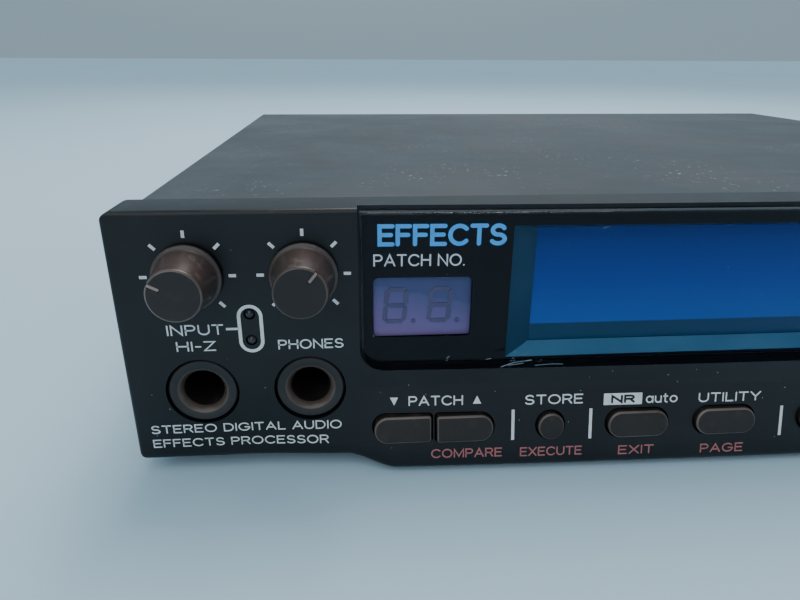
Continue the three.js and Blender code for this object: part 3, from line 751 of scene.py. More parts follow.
def digit(cx, cz, h, w, t, slant):
    """Outline bars of a seven-segment figure with its point, as thin prisms."""
    bars = []

    def bar(ax, az, bx, bz):
        dx, dz = bx - ax, bz - az
        length = math.hypot(dx, dz)
        ux, uz = dx / length, dz / length
        nx, nz = -uz * t / 2, ux * t / 2
        g = t * 0.55
        pts = [
            (ax + ux * g * 0.2, az + uz * g * 0.2),
            (ax + ux * g + nx, az + uz * g + nz),
            (bx - ux * g + nx, bz - uz * g + nz),
            (bx - ux * g * 0.2, bz - uz * g * 0.2),
            (bx - ux * g - nx, bz - uz * g - nz),
            (ax + ux * g - nx, az + uz * g - nz),
        ]
        pts = [(cx + x + slant * z, cz + z) for x, z in pts]
        bars.append(prism_y("t", pts, *BAR_Y))

    a, b = w / 2, h / 2
    for z in (b, 0, -b):
        bar(-a, z, a, z)
    for x in (-a, a):
        bar(x, 0, x, b)
        bar(x, -b, x, 0)
    bars.append(plug(cx + a + 1.35, cz - b, t * 0.55, *BAR_Y, 20))
    return bars


digits = digit(43.9, 27.2, 5.6, 3.2, 0.75, 0.09) + digit(51.2, 27.2, 5.6, 3.2, 0.75, 0.09)
finish_piece(combine("digit_segments", digits), M["digit_bar"], slot="digit_block")

# Thin lining inside the display opening, painted with blue light; its lower face takes the lighter ledge
# shade, painted light.
corners = window_ring(1.54, 0.06, 0.05) + window_ring(4.6, 0.06, 0.05)
sides = [(i, (i + 1) % 4, 4 + (i + 1) % 4, 4 + i) for i in range(4)]
bezel = mesh_object("display_bezel_lining", corners, sides)
finish_piece(bezel, [M["bezel"], M["bezel_lit_ledge"]], slot="panel_plastic", smooth=10)
bezel.data.polygons[0].material_index = 1

# ---- buttons
def build_button(b):
    name, x0, x1, _ = b
    mid = (x0 + x1) / 2
    front = face_y(mid, BUTTON_Z) - BUTTON_OUT
    r = 0.42
    edge = [(r * s, r * c) for s, c in quarter(5)]
    steps = [(1.0, -0.02), (0.7, -0.012)] + edge + [(0.0, 2.0), (0.0, 3.9)]
    sections = []
    for inset, deep in steps:
        outline = button_outline(b, -inset, 10)
        sections.append([(x, front + deep + SLOPE * (z - BUTTON_Z), z) for x, z in outline])
    cap = rings(f"key_{name}_cap", sections)
    stem = block("t", mid - 1.9, mid + 1.9, front + 2.6, BUTTON_BACK, BUTTON_Z - 1.6, BUTTON_Z + 1.6)
    boolean(cap, stem, "UNION")
    # Faces of the cap's rounded edge take the rim shade: wear plus a painted highlight.
    worn = []
    for f in cap.data.polygons:
        deep = f.center.y - front - SLOPE * (f.center.z - BUTTON_Z)
        worn.append(1 if 0.012 < deep < 0.26 and abs(f.normal.y) < 0.97 else 0)
    finish_piece(
        cap, [M["knob"], M["rim"]], f"{name}_key", f"{name}_button", "control_plastic", smooth=25
    )
    mark_faces(cap, worn)


for b in BUTTONS:
    build_button(b)


# ---- knobs
def build_knob(which, at_x, pointer):
    def place(ob):
        ob.data.transform(Matrix.Translation((at_x, 0, KNOB_Z)))

    def turn(ob):
        ob.data.transform(Matrix.Rotation(math.radians(-pointer), 4, "Y"))

    top, r = -KNOB_OUT, 0.42
    profile = [(0, top), (2.2, top), (3.45, top + 0.01)]
    for k in range(7):
        a = math.radians(90 * k / 6)
        profile.append((3.62 + r * math.sin(a), top + r * (1 - math.cos(a))))
    profile += [(4.2, -6.2), (4.45, -4.0), (4.64, -2.0), (4.72, -1.6), (4.95, -1.4), (5.15, -1.33)]
    profile += [(5.26, -1.25), (5.3, -1.1), (5.3, -0.7), (5.2, -0.6), (3.3, -0.6), (3.3, -5.5), (0, -5.5)]
    knob = turned(f"knob_{which}", profile, 112)
    slot_cut = prism_y("t", rounded(2.05, 5.2, -0.3, 0.3, 0.1, 3), top - 0.5, top + 0.35)
    turn(slot_cut)
    boolean(knob, slot_cut)
    place(knob)
    # Faces of the ring round the front face take the rim shade: wear plus a painted highlight.
    looks = []
    for f in knob.data.polygons:
        c = f.center
        out = math.hypot(c.x - at_x, c.z - KNOB_Z)
        rim, side = 3.7 < out < 4.12 and c.y < top + 0.32, out > 3.95 and c.y < -1.05
        looks.append(1 if rim else 2 if side else 0)
    body = f"{which}_control"
    # The skirt's material is the lighter copy of the knob plastic: painted sheen of the light on the sides.
    mats = [M["knob"], M["rim"], M["side"]]
    finish_piece(knob, mats, body, f"{which}_knob", "control_plastic", smooth=40)
    mark_faces(knob, looks)
    fill = prism_y(f"knob_{which}_pointer", rounded(2.12, 3.9, -0.22, 0.22, 0.1, 3), top + 0.06, top + 0.34)
    turn(fill)
    place(fill)
    finish_piece(fill, M["notch"], body, slot="control_plastic")


for knob_args in zip(("input", "phones"), KNOB_X, POINTER):
    build_knob(*knob_args)


# ---- jack sockets
def jack(node, x, wall, direction, ring_r, ring_out):
    """Bush with its ring, and the body behind it. Direction is 1 where the jack faces back."""

    def y(d):
        return wall - direction * d

    front, mouth = -ring_out, 4.15 if ring_r > 5 else 3.75
    bore = [(0, 28), (3.3, 28), (3.3, front + 1.1), (3.35, front + 0.95), (3.55, front + 0.6)]
    ring = [(3.85, front + 0.2), (mouth, front), (ring_r - 0.25, front), (ring_r, front + 0.25), (ring_r, 3)]
    shank = [(6.05, 3), (6.05, 29.5), (0, 29.5)]
    profile = [(r, y(d)) for r, d in bore + ring + shank]
    ob = turned(node + "_bush", profile, 72, at=(x, 0, JACK_Z))
    # Chamfer faces at the mouth of the bore take the lighter lip shade, a painted highlight.
    lip = []
    for f in ob.data.polygons:
        near = 3.28 < math.hypot(f.center.x - x, f.center.z - JACK_Z) < 4.1
        lip.append(1 if near and abs(f.center.y - y(front)) < 1.4 and abs(f.normal.y) < 0.98 else 0)
    finish_piece(ob, [M["jack"], M["lip"]], replaces=node, slot="jack_plastic", smooth=40)
    mark_faces(ob, lip)
    near, far = sorted((y(3.1), y(30)))
    shell = block(node + "_bush_body", x - 6.8, x + 6.8, near, far, JACK_Z - 6.1, JACK_Z + 6.1)
    boolean(shell, plug(x, JACK_Z, 6.1, -200, 400))
    finish_piece(shell, M["jack"], slot="jack_plastic", bevel=0.15)


for node, x in zip(("input_jack", "phones_jack"), KNOB_X):
    jack(node, x, 0.3, -1, 5.65, 0.0)

# ---- level indicators
for place, z in zip(("upper", "lower"), LED_Z):
    dome = turned(
        f"level_dome_{place}",
        [(0, -0.35), (0.25, -0.32), (0.48, -0.2), (0.66, 0.0), (0.76, 0.25), (0.8, 0.5), (0.8, 8), (0, 8)],
        40,
        at=(LED_X, 0, z),
    )
    finish_piece(dome, M["led"], replaces=f"level_led_{place}", slot="clear_led", smooth=60)


# ---- printing
# Pen strokes of each letter in a box one unit high, with its width.
LETTERS = {
    "A": (0.86, [[(0, 0), (0.43, 1), (0.86, 0)], [(0.14, 0.32), (0.72, 0.32)]]),
    "B": (0.7, [
        [(0, 0), (0, 1)] + bend(0.42, 0.76, 0.24, 0.24, 90, -90, 8) + [(0, 0.52)],
        bend(0.42, 0.26, 0.28, 0.26, 90, -90, 8) + [(0, 0)],
    ]),
    "C": (0.86, [bend(0.48, 0.5, 0.48, 0.5, 42, 318, 18)]),
    "D": (0.8, [[(0, 0), (0, 1)] + bend(0.34, 0.5, 0.46, 0.5, 90, -90, 12) + [(0, 0)]]),
    "E": (0.66, [[(0.66, 0), (0, 0), (0, 1), (0.66, 1)], [(0, 0.52), (0.58, 0.52)]]),
    "F": (0.62, [[(0, 0), (0, 1), (0.62, 1)], [(0, 0.52), (0.54, 0.52)]]),
    "G": (0.94, [bend(0.48, 0.5, 0.48, 0.5, 42, 350, 20) + [(0.94, 0.47), (0.55, 0.47)]]),
    "H": (0.76, [[(0, 0), (0, 1)], [(0.76, 0), (0.76, 1)], [(0, 0.52), (0.76, 0.52)]]),
    "I": (0.0, [[(0, 0), (0, 1)]]),
    "L": (0.58, [[(0, 1), (0, 0), (0.58, 0)]]),
    "M": (0.94, [[(0, 0), (0, 1), (0.47, 0.1), (0.94, 1), (0.94, 0)]]),
    "N": (0.78, [[(0, 0), (0, 1), (0.78, 0), (0.78, 1)]]),
    "O": (0.96, [bend(0.48, 0.5, 0.48, 0.5, 90, 450, 24)]),
    "P": (0.68, [[(0, 0), (0, 1)] + bend(0.41, 0.73, 0.27, 0.27, 90, -90, 8) + [(0, 0.46)]]),
    "R": (0.72, [
        [(0, 0), (0, 1)] + bend(0.43, 0.74, 0.27, 0.26, 90, -90, 8) + [(0, 0.48)],
        [(0.42, 0.48), (0.72, 0)],
    ]),
    "S": (0.7, [
        bend(0.36, 0.745, 0.31, 0.255, 25, 262, 12) + bend(0.35, 0.25, 0.35, 0.25, 82, -152, 12),
    ]),
    "T": (0.74, [[(0, 1), (0.74, 1)], [(0.37, 1), (0.37, 0)]]),
    "U": (0.76, [[(0, 1)] + bend(0.38, 0.38, 0.38, 0.38, 180, 360, 12) + [(0.76, 1)]]),
    "V": (0.8, [[(0, 1), (0.4, 0), (0.8, 1)]]),
    "W": (1.16, [[(0, 1), (0.29, 0), (0.58, 0.95), (0.87, 0), (1.16, 1)]]),
    "X": (0.78, [[(0, 0), (0.78, 1)], [(0, 1), (0.78, 0)]]),
    "Y": (0.8, [[(0, 1), (0.4, 0.45), (0.8, 1)], [(0.4, 0.45), (0.4, 0)]]),
    "Z": (0.74, [[(0, 1), (0.74, 1), (0, 0), (0.74, 0)]]),
    "a": (0.62, [bend(0.3, 0.35, 0.3, 0.35, 0, 360, 18), [(0.62, 0.7), (0.62, 0)]]),
    "o": (0.66, [bend(0.33, 0.35, 0.33, 0.35, 0, 360, 18)]),
    "t": (0.38, [[(0.14, 0.95)] + bend(0.3, 0.16, 0.16, 0.16, 180, 280, 6), [(0, 0.68), (0.36, 0.68)]]),
    "u": (0.56, [[(0, 0.7)] + bend(0.28, 0.28, 0.28, 0.28, 180, 360, 10), [(0.56, 0.7), (0.56, 0)]]),
    "-": (0.34, [[(0, 0.45), (0.34, 0.45)]]),
    ".": (0.0, [[(0, 0), (0, 0.02)]]),
    " ": (0.2, []),
}


def pen(points, t):
    """A line of thickness t with mitred corners and round ends, as (points, faces)."""
    line = [points[0]]
    for q in points[1:]:
        if math.hypot(q[0] - line[-1][0], q[1] - line[-1][1]) > 1e-5:
            line.append(q)
    closed = len(line) > 3 and math.hypot(line[0][0] - line[-1][0], line[0][1] - line[-1][1]) < 1e-3
    if closed:
        line.pop()
    n = len(line)

    def unit(a, b):
        d = math.hypot(b[0] - a[0], b[1] - a[1]) or 1
        return (b[0] - a[0]) / d, (b[1] - a[1]) / d

    left, right = [], []
    for i in range(n):
        before = unit(line[i - 1], line[i]) if i or closed else unit(line[0], line[1])
        after = unit(line[i], line[(i + 1) % n]) if i < n - 1 or closed else before
        mx, my = -(before[1] + after[1]), before[0] + after[0]
        size = math.hypot(mx, my) or 1
        mx, my = mx / size, my / size
        reach = t / 2 / max(0.45, mx * -after[1] + my * after[0])
        left.append((line[i][0] + mx * reach, line[i][1] + my * reach))
        right.append((line[i][0] - mx * reach, line[i][1] - my * reach))
    pts = left + right
    faces = [(i, (i + 1) % n, n + (i + 1) % n, n + i) for i in range(n if closed else n - 1)]
    if not closed:
        for end, other in ((0, 1), (n - 1, n - 2)):
            dx, dy = unit(line[other], line[end])
            base = len(pts)
            start = math.degrees(math.atan2(dy, dx)) - 90
            pts += arc(line[end][0], line[end][1], t / 2, start, start + 180, 6)
            faces.append(tuple(range(base, base + 7)))
    return pts, faces


def text_outline(words, height, width, weight=0.25):
    """Letters with their lower left corner at 0, 0, fitted to a width and height in mm."""
    gap = 0.27
    x, strokes = 0.0, []
    for letter in words:
        advance, lines = LETTERS[letter]
        for line in lines:
            strokes.append([(x + px, py) for px, py in line])
        x += advance + gap
    sx, sy = (width - weight) / (x - gap), height - weight
    pts, faces = [], []
    for line in strokes:
        more, quads = pen([(weight / 2 + px * sx, weight / 2 + py * sy) for px, py in line], weight)
        base = len(pts)
        pts += more
        faces += [tuple(base + i for i in q) for q in quads]
    return pts, faces


PRINT = {"white": [], "red": []}
LENS_PRINT = {"white": [], "blue": []}


def put_text(words, x, z, height, width, ink="white", surface=PRINT, weight=0.25):
    pts, faces = text_outline(words, height, width, weight)
    surface[ink].append(([(x + px, z + pz) for px, pz in pts], faces))


def put_shape(outline):
    PRINT["white"].append((outline, [tuple(range(len(outline)))]))


def put_ring(outer, inner):
    n = len(outer)
    faces = [(i, (i + 1) % n, n + (i + 1) % n, n + i) for i in range(n)]
    PRINT["white"].append((outer + inner, faces))


def lay_print(name, parts, y_of, ink, slot, facing=-1):
    verts, faces = [], []
    for pts, fs in parts:
        base = len(verts)
        verts += [(x, y_of(x, z), z) for x, z in pts]
        faces += [tuple(base + i for i in f) for f in fs]
    ob = mesh_object(name, verts, faces)
    bm = bmesh.new()
    bm.from_mesh(ob.data)
    bmesh.ops.recalc_face_normals(bm, faces=bm.faces)
    for f in bm.faces:
        if f.normal.y * facing < 0:
            f.normal_flip()
    bm.to_mesh(ob.data)
    bm.free()
    finish_piece(ob, M[ink], slot=slot, smooth=20)


for x in KNOB_X:
    for degrees in range(225, -46, -45):
        a = math.radians(degrees)
        c, s = math.cos(a), math.sin(a)
        tick = ((6.12, -0.25), (7.25, -0.25), (7.25, 0.25), (6.12, 0.25))
        put_shape([(x + c * r - s * w, KNOB_Z + s * r + c * w) for r, w in tick])
put_ring(rounded(18.62, 22.62, 20.62, 28.92, 1.99), rounded(19.17, 22.07, 21.17, 28.37, 1.44))
put_shape([(16.75, 24.65), (18.7, 24.65), (18.7, 25.05), (16.75, 25.05)])
put_text("INPUT", 7.52, 23.9, 1.82, 8.84)
put_text("HI-Z", 8.67, 21.08, 1.77, 6.2)
put_text("PHONES", 24.73, 20.99, 1.72, 10.52)
put_text("STEREO DIGITAL AUDIO", 2.6, 5.85, 1.62, 31.9, weight=0.23)
put_text("EFFECTS PROCESSOR", 2.6, 3.1, 1.62, 29.6, weight=0.23)

put_shape([(42.75, 11.55), (43.45, 10.17), (44.15, 11.55)])
put_text("PATCH", 45.9, 10.02, 1.71, 9.3)
put_shape([(56.9, 10.2), (58.32, 10.2), (57.61, 11.6)])
put_text("STORE", 65.84, 9.78, 1.72, 10.17)
put_text("auto", 87.1, 9.5, 1.75, 5.67)
put_text("UTILITY", 96.55, 9.35, 1.68, 11.29)
put_text("COMPARE", 49.71, 0.73, 1.63, 12.37, "red")
put_text("EXECUTE", 65.19, 0.64, 1.63, 10.95, "red")
put_text("EXIT", 82.61, 0.45, 1.63, 6.43, "red")
put_text("PAGE", 97.45, 0.22, 1.63, 7.89, "red")
for x, low in ((63.87, 3.64), (77.46, 3.5), (111.9, 2.9), (139.1, 2.9), (166.3, 2.9), (192.55, 2.9)):
    put_shape([(x - 0.26, low), (x + 0.26, low), (x + 0.26, low + 5.35), (x - 0.26, low + 5.35)])
for x, label in ((125.2, "EFFECT"), (152.4, "PARAM"), (179.6, "VALUE")):
    put_shape([(x - 7.6, 10.7), (x - 6.9, 9.35), (x - 6.2, 10.7)])
    put_text(label, x - 4.6, 9.3, 1.65, 9.2)
    put_shape([(x + 6.2, 9.4), (x + 7.6, 9.4), (x + 6.9, 10.75)])
put_text("BYPASS", 193.0, 9.3, 1.6, 9.4)

# "NR" reads dark out of a white box
put_shape(rounded(79.65, 86.43, 9.36, 11.4, 0.1, 2))


def on_panel(proud):
    return lambda x, z: face_y(x, z) - proud


for ink in ("white", "red"):
    lay_print(f"panel_print_{ink}", PRINT[ink], on_panel(0.035), ink, "panel_plastic")
pts, faces = text_outline("NR", 1.45, 4.2, 0.36)
box_words = [([(80.95 + px, 9.66 + pz) for px, pz in pts], faces)]
lay_print("panel_print_box", box_words, on_panel(0.06), "panel", "panel_plastic")

put_text("EFFECTS", 40.97, 37.5, 3.6, 20.4, "blue", LENS_PRINT, 0.70)
put_text("PATCH NO.", 40.3, 34.2, 2.02, 14.55, "white", LENS_PRINT, 0.26)
rng = random.Random(11)


def fleck(x, z, sizes, widths):
    """A short stroke at a random angle."""
    a, size = rng.uniform(0, 3.1), rng.choice(sizes)
    return pen([(x, z), (x + size * math.cos(a), z + size * math.sin(a))], rng.uniform(*widths))


scuffs = [
    pen(line, t)
    for line, t in (
        ([(61.2, 17.35), (63.4, 18.15), (66.2, 18.5)], 0.16),
        ([(62.4, 17.6), (64.9, 17.95)], 0.12),
        ([(58.6, 18.8), (59.4, 18.95)], 0.12),
        ([(66.9, 17.5), (69.8, 17.7), (71.6, 17.65)], 0.10),
        ([(52.1, 19.2), (52.5, 19.5)], 0.14),
        ([(75.5, 40.9), (76.4, 41.2)], 0.10),
    )
]
for _ in range(46):
    x, z = rng.uniform(40, 200), rng.uniform(18, 43)
    if rng.random() < 0.4:
        x, z = rng.gauss(65, 2.0), rng.gauss(19.5, 1.6)
    if 18 < z < 42.8:
        scuffs.append(fleck(x, z, (0.02, 0.05, 0.3), (0.06, 0.12)))


def clear_of_parts(x, z):
    """Whether a speck at x, z lies on the panel, off the lens, buttons, knobs, jacks and indicators."""
    on_lens = 37.4 < x < 204.6 and z > 15.9
    on_button = any(b[1] - 0.7 < x < b[2] + 0.7 and abs(z - BUTTON_Z) < 3.2 for b in BUTTONS)
    reach = min(math.hypot(x - kx, z - kz) for kx in KNOB_X for kz in (KNOB_Z, JACK_Z))
    return not (on_lens or on_button or reach < 6.4 or abs(x - LED_X) < 1.2)


dust = []
for _ in range(70):
    x, z = rng.uniform(1.5, 205), rng.choice((rng.uniform(2, 15.5), rng.uniform(2, 43)))
    if clear_of_parts(x, z):
        dust.append(fleck(x, z, (0.02, 0.04, 0.12), (0.06, 0.11)))
lay_print("panel_dust", dust, on_panel(0.05), "dust", "panel_plastic")
lay_print("lens_scuffs", scuffs, lambda x, z: -LENS_PROUD - bow(x) - 0.02, "scuff", "lens_acrylic")
for ink in ("white", "blue"):
    parts = LENS_PRINT[ink]
    lay_print(f"lens_print_{ink}", parts, lambda x, z: LENS_BACK - 0.16 - bow(x), ink, "lens_acrylic")

# ---- case
CASE_X0, CASE_FRONT, CASE_REAR, CASE_TOP, SHEET, TRAY_Z = 2.1, 8.6, 163.6, 43.4, 1.0, 0.6
TRAY_X0 = CASE_X0 + SHEET + 0.3
WALL_Y = 161.4
WALL_BACK = WALL_Y + SHEET
WALL_CUT = (158, 168)
SCREW_Y, SCREW_Z = (36, 138), 12
REAR_JACKS = {"control_jack": 118, "output_right_jack": 146, "output_left_jack": 166}
MIDI = {"midi_in_socket": 66, "midi_out_socket": 90}
MIDI_Z, DC_X, DC_Z, POWER_X, POWER_Z = 17.3, 22, 13.0, 40, 12.4


def screw_holes():
    out = []
    for y in SCREW_Y:
        for a, b in ((0, 8), (PANEL_W - 8, PANEL_W)):
            out.append(turned("t", [(0, a), (1.75, a), (1.75, b), (0, b)], 32, "x", (0, y, SCREW_Z)))
    return combine("t", out)


def build_cover():
    foot = 0.05
    outer = rounded(CASE_X0, PANEL_W - CASE_X0, TRAY_Z + 0.3, CASE_TOP, (foot, foot, 1.6, 1.6), 12)
    in_x = CASE_X0 + SHEET
    inner = rounded(in_x, PANEL_W - in_x, -5, CASE_TOP - SHEET, (foot, foot, 0.6, 0.6), 8)
    ob = prism_y("case_cover", outer, CASE_FRONT, CASE_REAR)
    boolean(ob, prism_y("t", inner, CASE_FRONT - 5, CASE_REAR + 5))
    boolean(ob, screw_holes())
    look = {"bevel": 0.2, "segments": 3, "angle": 40, "smooth": 25}
    finish_piece(ob, M["case"], replaces="top_cover", slot="case_paint", **look)


def build_tray():
    x0, x1 = TRAY_X0, PANEL_W - TRAY_X0
    ob = block("case_tray", x0, x1, CASE_FRONT, WALL_BACK, TRAY_Z, TRAY_Z + SHEET)
    for tool in (
        block("t", x0, x0 + SHEET, 14, WALL_Y + 0.5, TRAY_Z, 18),
        block("t", x1 - SHEET, x1, 14, WALL_Y + 0.5, TRAY_Z, 18),
        block("t", x0, x1, WALL_Y, WALL_BACK, TRAY_Z, CASE_TOP - SHEET - 0.3),
    ):
        boolean(ob, tool, "UNION")
    for x in (14, PANEL_W - 14):
        for y in (44, 130):
            boolean(ob, turned("t", [(0, 1.0), (3, 1.0), (3, 5.3), (0, 5.3)], 24, "z", (x, y, 0)), "UNION")
    holes = [plug(x, JACK_Z, 4.9, *WALL_CUT) for x in REAR_JACKS.values()]
    holes += [plug(x, MIDI_Z, 8.2, *WALL_CUT, 64) for x in MIDI.values()]
    holes.append(plug(DC_X, DC_Z, 5, *WALL_CUT))
    holes.append(prism_y("t", power_outline(3.8, 0.8), *WALL_CUT))
    boolean(ob, combine("t", holes))
    boolean(ob, screw_holes())
    look = {"bevel": 0.12, "angle": 40, "smooth": 25}
    finish_piece(ob, M["case"], replaces="chassis_tray", slot="case_paint", **look)


def power_outline(half, radius):
    return rounded(POWER_X - half, POWER_X + half, POWER_Z - half, POWER_Z + half, radius)


build_cover()
build_tray()

# ---- rear fittings
for node, x in REAR_JACKS.items():
    jack(node, x, WALL_BACK, 1, 4.5, 3.8)
    wall = WALL_BACK + 0.3
    hexagon = arc(x, JACK_Z, 6.2, 0, 300, 5)
    nut = prism_y(node + "_nut", hexagon, wall, wall + 1.9)
    boolean(nut, plug(x, JACK_Z, 4.55, 150, 180))
    finish_piece(nut, M["zinc"], slot="screw_zinc", bevel=0.2)


def socket_shell(name, node, x, z, profile, n, **look):
    shell = turned(name, profile, n, at=(x, 0, z))
    finish_piece(shell, M["jack"], replaces=node, slot="jack_plastic", bevel=0.05, **look)


for node, x in MIDI.items():
    end = CASE_REAR + 0.4
    cup = [(0, 154), (6.9, 154), (6.9, end - 0.2), (7.1, end), (7.7, end), (7.85, end - 0.2)]
    socket_shell(node + "_shell", node, x, MIDI_Z, cup + [(7.85, 153), (0, 153)], 72, smooth=40)
    pins = []
    for px, pz in arc(x, MIDI_Z, 4.4, 180, 360, 4):
        wire = [(0.62, 154.0), (1.0, 154.0), (1.0, 154.35), (0.62, 154.35)]
        pins.append(turned("t", wire, 24, at=(px, 0, pz)))
    finish_piece(combine(node + "_contacts", pins), M["plated"], slot="plated_steel")
    box = block(node + "_body", x - 9.8, x + 9.8, 148, 160.9, 7.5, 27.1)
    boolean(box, plug(x, MIDI_Z, 7.9, 140, 170))
    finish_piece(box, M["jack"], slot="jack_plastic", bevel=0.2)

end = CASE_REAR + 0.3
cup = [(0, 151.5), (3.2, 151.5), (3.2, end - 0.3), (3.45, end), (4.45, end), (4.6, end - 0.2)]
socket_shell("supply_inlet", "dc_socket", DC_X, DC_Z, cup + [(4.6, 150), (0, 150)], 56)
prong = [(0, 151.6), (1.0, 151.6), (1.0, end - 1.4), (0.7, end - 1.0), (0, end - 1.0)]
finish_piece(
    turned("supply_pin", prong, 32, at=(DC_X, 0, DC_Z)), M["plated"], slot="plated_steel"
)

rear_words = []
for words, x, z, width in (
    ("CONTROL", REAR_JACKS["control_jack"], 21.6, 9.6),
    ("OUTPUT R", REAR_JACKS["output_right_jack"], 21.6, 11.4),
    ("OUTPUT L", REAR_JACKS["output_left_jack"], 21.6, 11.2),
    ("MIDI IN", MIDI["midi_in_socket"], 28.2, 8.8),
    ("MIDI OUT", MIDI["midi_out_socket"], 28.2, 10.6),
    ("POWER", POWER_X, 18.2, 8.2),
    ("DC IN", DC_X, 19.2, 6.6),
):
    pts, faces = text_outline(words, 1.7, width, 0.24)
    rear_words.append(([(x + width / 2 - px, z + pz) for px, pz in pts], faces))
lay_print("rear_print_white", rear_words, lambda x, z: WALL_BACK + 0.03, "white", "case_paint", 1)

key = prism_y("power_key", power_outline(3.4, 0.7), 159.2, CASE_REAR + 3.4)
stem = block("t", POWER_X - 1.5, POWER_X + 1.5, 157.4, 160, POWER_Z - 1.5, POWER_Z + 1.5)
boolean(key, stem, "UNION")
finish_piece(key, M["knob"], "power_key", "power_button", "control_plastic", bevel=0.35, segments=3)

hook_side = [(162.7, 24), (167, 24), (167, 29), (166.1, 29), (166.1, 25.8), (163.9, 25.8)]
hook_side += [(163.9, 31), (162.7, 31)]
hook = prism_x("cord_hook_moulding", hook_side, DC_X - 4, DC_X + 4)
finish_piece(hook, M["jack"], replaces="cord_hook", slot="jack_plastic", bevel=0.25, segments=3)

# ---- screws and feet
SCREW_HEAD = [(0, 0.0), (1.2, 0.05), (2.1, 0.3), (2.7, 0.75), (2.98, 1.3), (3.0, 1.5)]
SCREW_SHANK = [(1.45, 1.5), (1.45, 5.4), (0, 5.4)]
SCREW_OUT = 0.3
for side, x, turn in (("left", SCREW_OUT, -90), ("right", PANEL_W - SCREW_OUT, 90)):
    for end, y in zip(("front", "rear"), SCREW_Y):
        place = f"{side}_{end}"
        ob = turned("t", SCREW_HEAD + SCREW_SHANK, 48)
        wide = block("v", -1.6, 1.6, -0.5, 0.85, -0.28, 0.28)
        tall = block("v", -0.28, 0.28, -0.5, 0.84, -1.6, 1.6)
        boolean(ob, combine("u", [wide, tall]), solver="EXACT")
        ob.name = f"screw_{place}"
        ob.data.transform(Matrix.Rotation(math.radians(turn), 4, "Z"))
        ob.data.transform(Matrix.Translation((x, y, SCREW_Z)))
        finish_piece(ob, M["zinc"], replaces=f"cover_screw_{place}", slot="screw_zinc", bevel=0.05)

PAD = [(0, -2.3), (4.9, -2.3), (5.4, -2.22), (5.8, -1.95), (6.05, -1.6), (6.4, 0.3), (0, 0.3)]
for end, y in (("front", 24), ("rear", 146)):
    for side, x in (("left", 17), ("right", 190)):
        ob = turned(f"foot_pad_{side}_{end}", PAD, 64, "z", (x, y, 0))
        finish_piece(ob, M["rubber"], replaces=f"foot_{side}_{end}", slot="foot_rubber", smooth=40)

# ---- carried-over solids
CARRIED = {
    "lcd": ("lcd_glass",),
    "board": ("main_board", "front_board", "control_board"),
    "diffuser": ("lcd_backlight",),
    "plated": ("lcd_frame", "power_switch", "backup_battery"),
    "chip": ("dsp_chip", "memory_chip", "converter_chip", "regulator", "filter_capacitor"),
    "aluminium": ("heat_sink", "input_pot", "phones_pot", "input_shaft", "phones_shaft"),
    "ribbon": ("ribbon_cable",),
}
for look, carried in CARRIED.items():
    for node in carried:
        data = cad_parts[node].data
        data.materials.clear()
        data.materials.append(M[look])


# ---- floor, light and camera
def stage_plane():
    reach = 9
    corners = [(-reach, -reach, 0), (reach, -reach, 0), (reach, reach, 0), (-reach, reach, 0)]
    ob = mesh_object("floor", corners, [(0, 1, 2, 3)])
    g = Nodes("floor_pale")
    colour = g.mix(g.cloud(3, 4, 0.3, 0.8), (0.50, 0.70, 0.82), (0.54, 0.735, 0.85))
    g.principled(colour, 0.75, g.grain(60, 3, 0.02, 0.001), spec=0.15)
    ob.data.materials.append(g.mat)


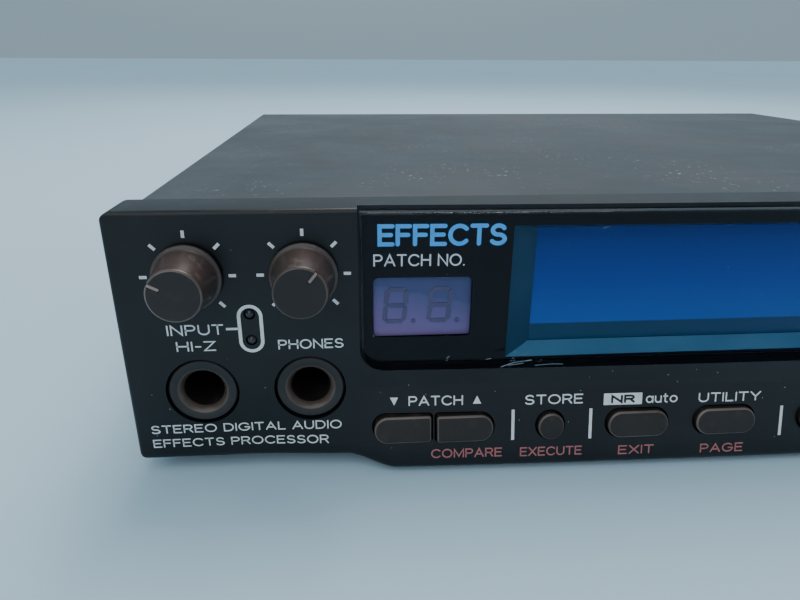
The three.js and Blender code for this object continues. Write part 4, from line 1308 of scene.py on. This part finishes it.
def make_world():
    """A dim blue-grey room that brightens towards the upper back."""
    world = bpy.data.worlds.new("studio")
    scene.world = world
    world.use_nodes = True
    tree = world.node_tree
    bg = tree.nodes["Background"]
    ray = tree.nodes.new("ShaderNodeTexCoord")
    tilt = tree.nodes.new("ShaderNodeVectorMath")
    tilt.operation = "DOT_PRODUCT"
    tilt.inputs[1].default_value = (0, 0.5, 0.8)
    sky = tree.nodes.new("ShaderNodeValToRGB")
    sky.color_ramp.elements.new(0.5)
    shades = ((0.0, (0.30, 0.40, 0.47)), (0.5, (0.31, 0.43, 0.51)), (1.0, (0.52, 0.65, 0.74)))
    for e, (place, colour) in zip(sky.color_ramp.elements, shades):
        e.position, e.color = place, (*colour, 1)
    tree.links.new(ray.outputs["Generated"], tilt.inputs[0])
    tree.links.new(tilt.outputs["Value"], sky.inputs["Fac"])
    tree.links.new(sky.outputs["Color"], bg.inputs["Color"])
    bg.inputs["Strength"].default_value = 0.85


def add_light(kind, name, power, colour, towards):
    data = bpy.data.lights.new(name, kind)
    data.energy = power
    data.color = colour
    ob = bpy.data.objects.new(name, data)
    store.objects.link(ob)
    ob.rotation_euler = Vector(towards).to_track_quat("-Z", "Y").to_euler()
    return ob


stage_plane()
make_world()
KEY_AT, KEY_TARGET = Vector((0.12, 0.36, 0.92)), Vector((0, 0, 0.02))
key_light = add_light("AREA", "key", 7.5, (1.0, 0.89, 0.84), KEY_TARGET - KEY_AT)
key_light.location = KEY_AT
key_light.data.shape = "RECTANGLE"
key_light.data.size, key_light.data.size_y = 0.5, 0.8
fill_light = add_light("SUN", "front_fill", 1.3, (0.94, 0.98, 1.0), (0.22, 0.70, -0.60))
fill_light.data.angle = math.radians(70)

# The camera stands at CAMERA_AT, in the panel's millimetres. FOCAL and IMAGE_W share one unit.
FOCAL, IMAGE_W, SENSOR_W = 616.0, 800, 36
PITCH, YAW, ROLL = (math.radians(a) for a in (21.74, 4.5, 0.29))
CAMERA_AT = (37.27, -90.95, 65.48)
forward = Vector((math.sin(YAW) * math.cos(PITCH), math.cos(YAW) * math.cos(PITCH), -math.sin(PITCH)))
level = Vector((math.cos(YAW), -math.sin(YAW), 0))
upright = level.cross(forward)
right = level * math.cos(ROLL) + upright * math.sin(ROLL)
up = -level * math.sin(ROLL) + upright * math.cos(ROLL)
cam_data = bpy.data.cameras.new("camera")
cam_data.sensor_width = SENSOR_W
cam_data.lens = FOCAL / IMAGE_W * SENSOR_W
cam_data.clip_start = 0.005
cam = bpy.data.objects.new("camera", cam_data)
store.objects.link(cam)
columns = (right, up, -forward, TO_ROW @ Vector(CAMERA_AT))
cam.matrix_world = Matrix((*zip(*columns), (0, 0, 0, 1)))
scene.camera = cam
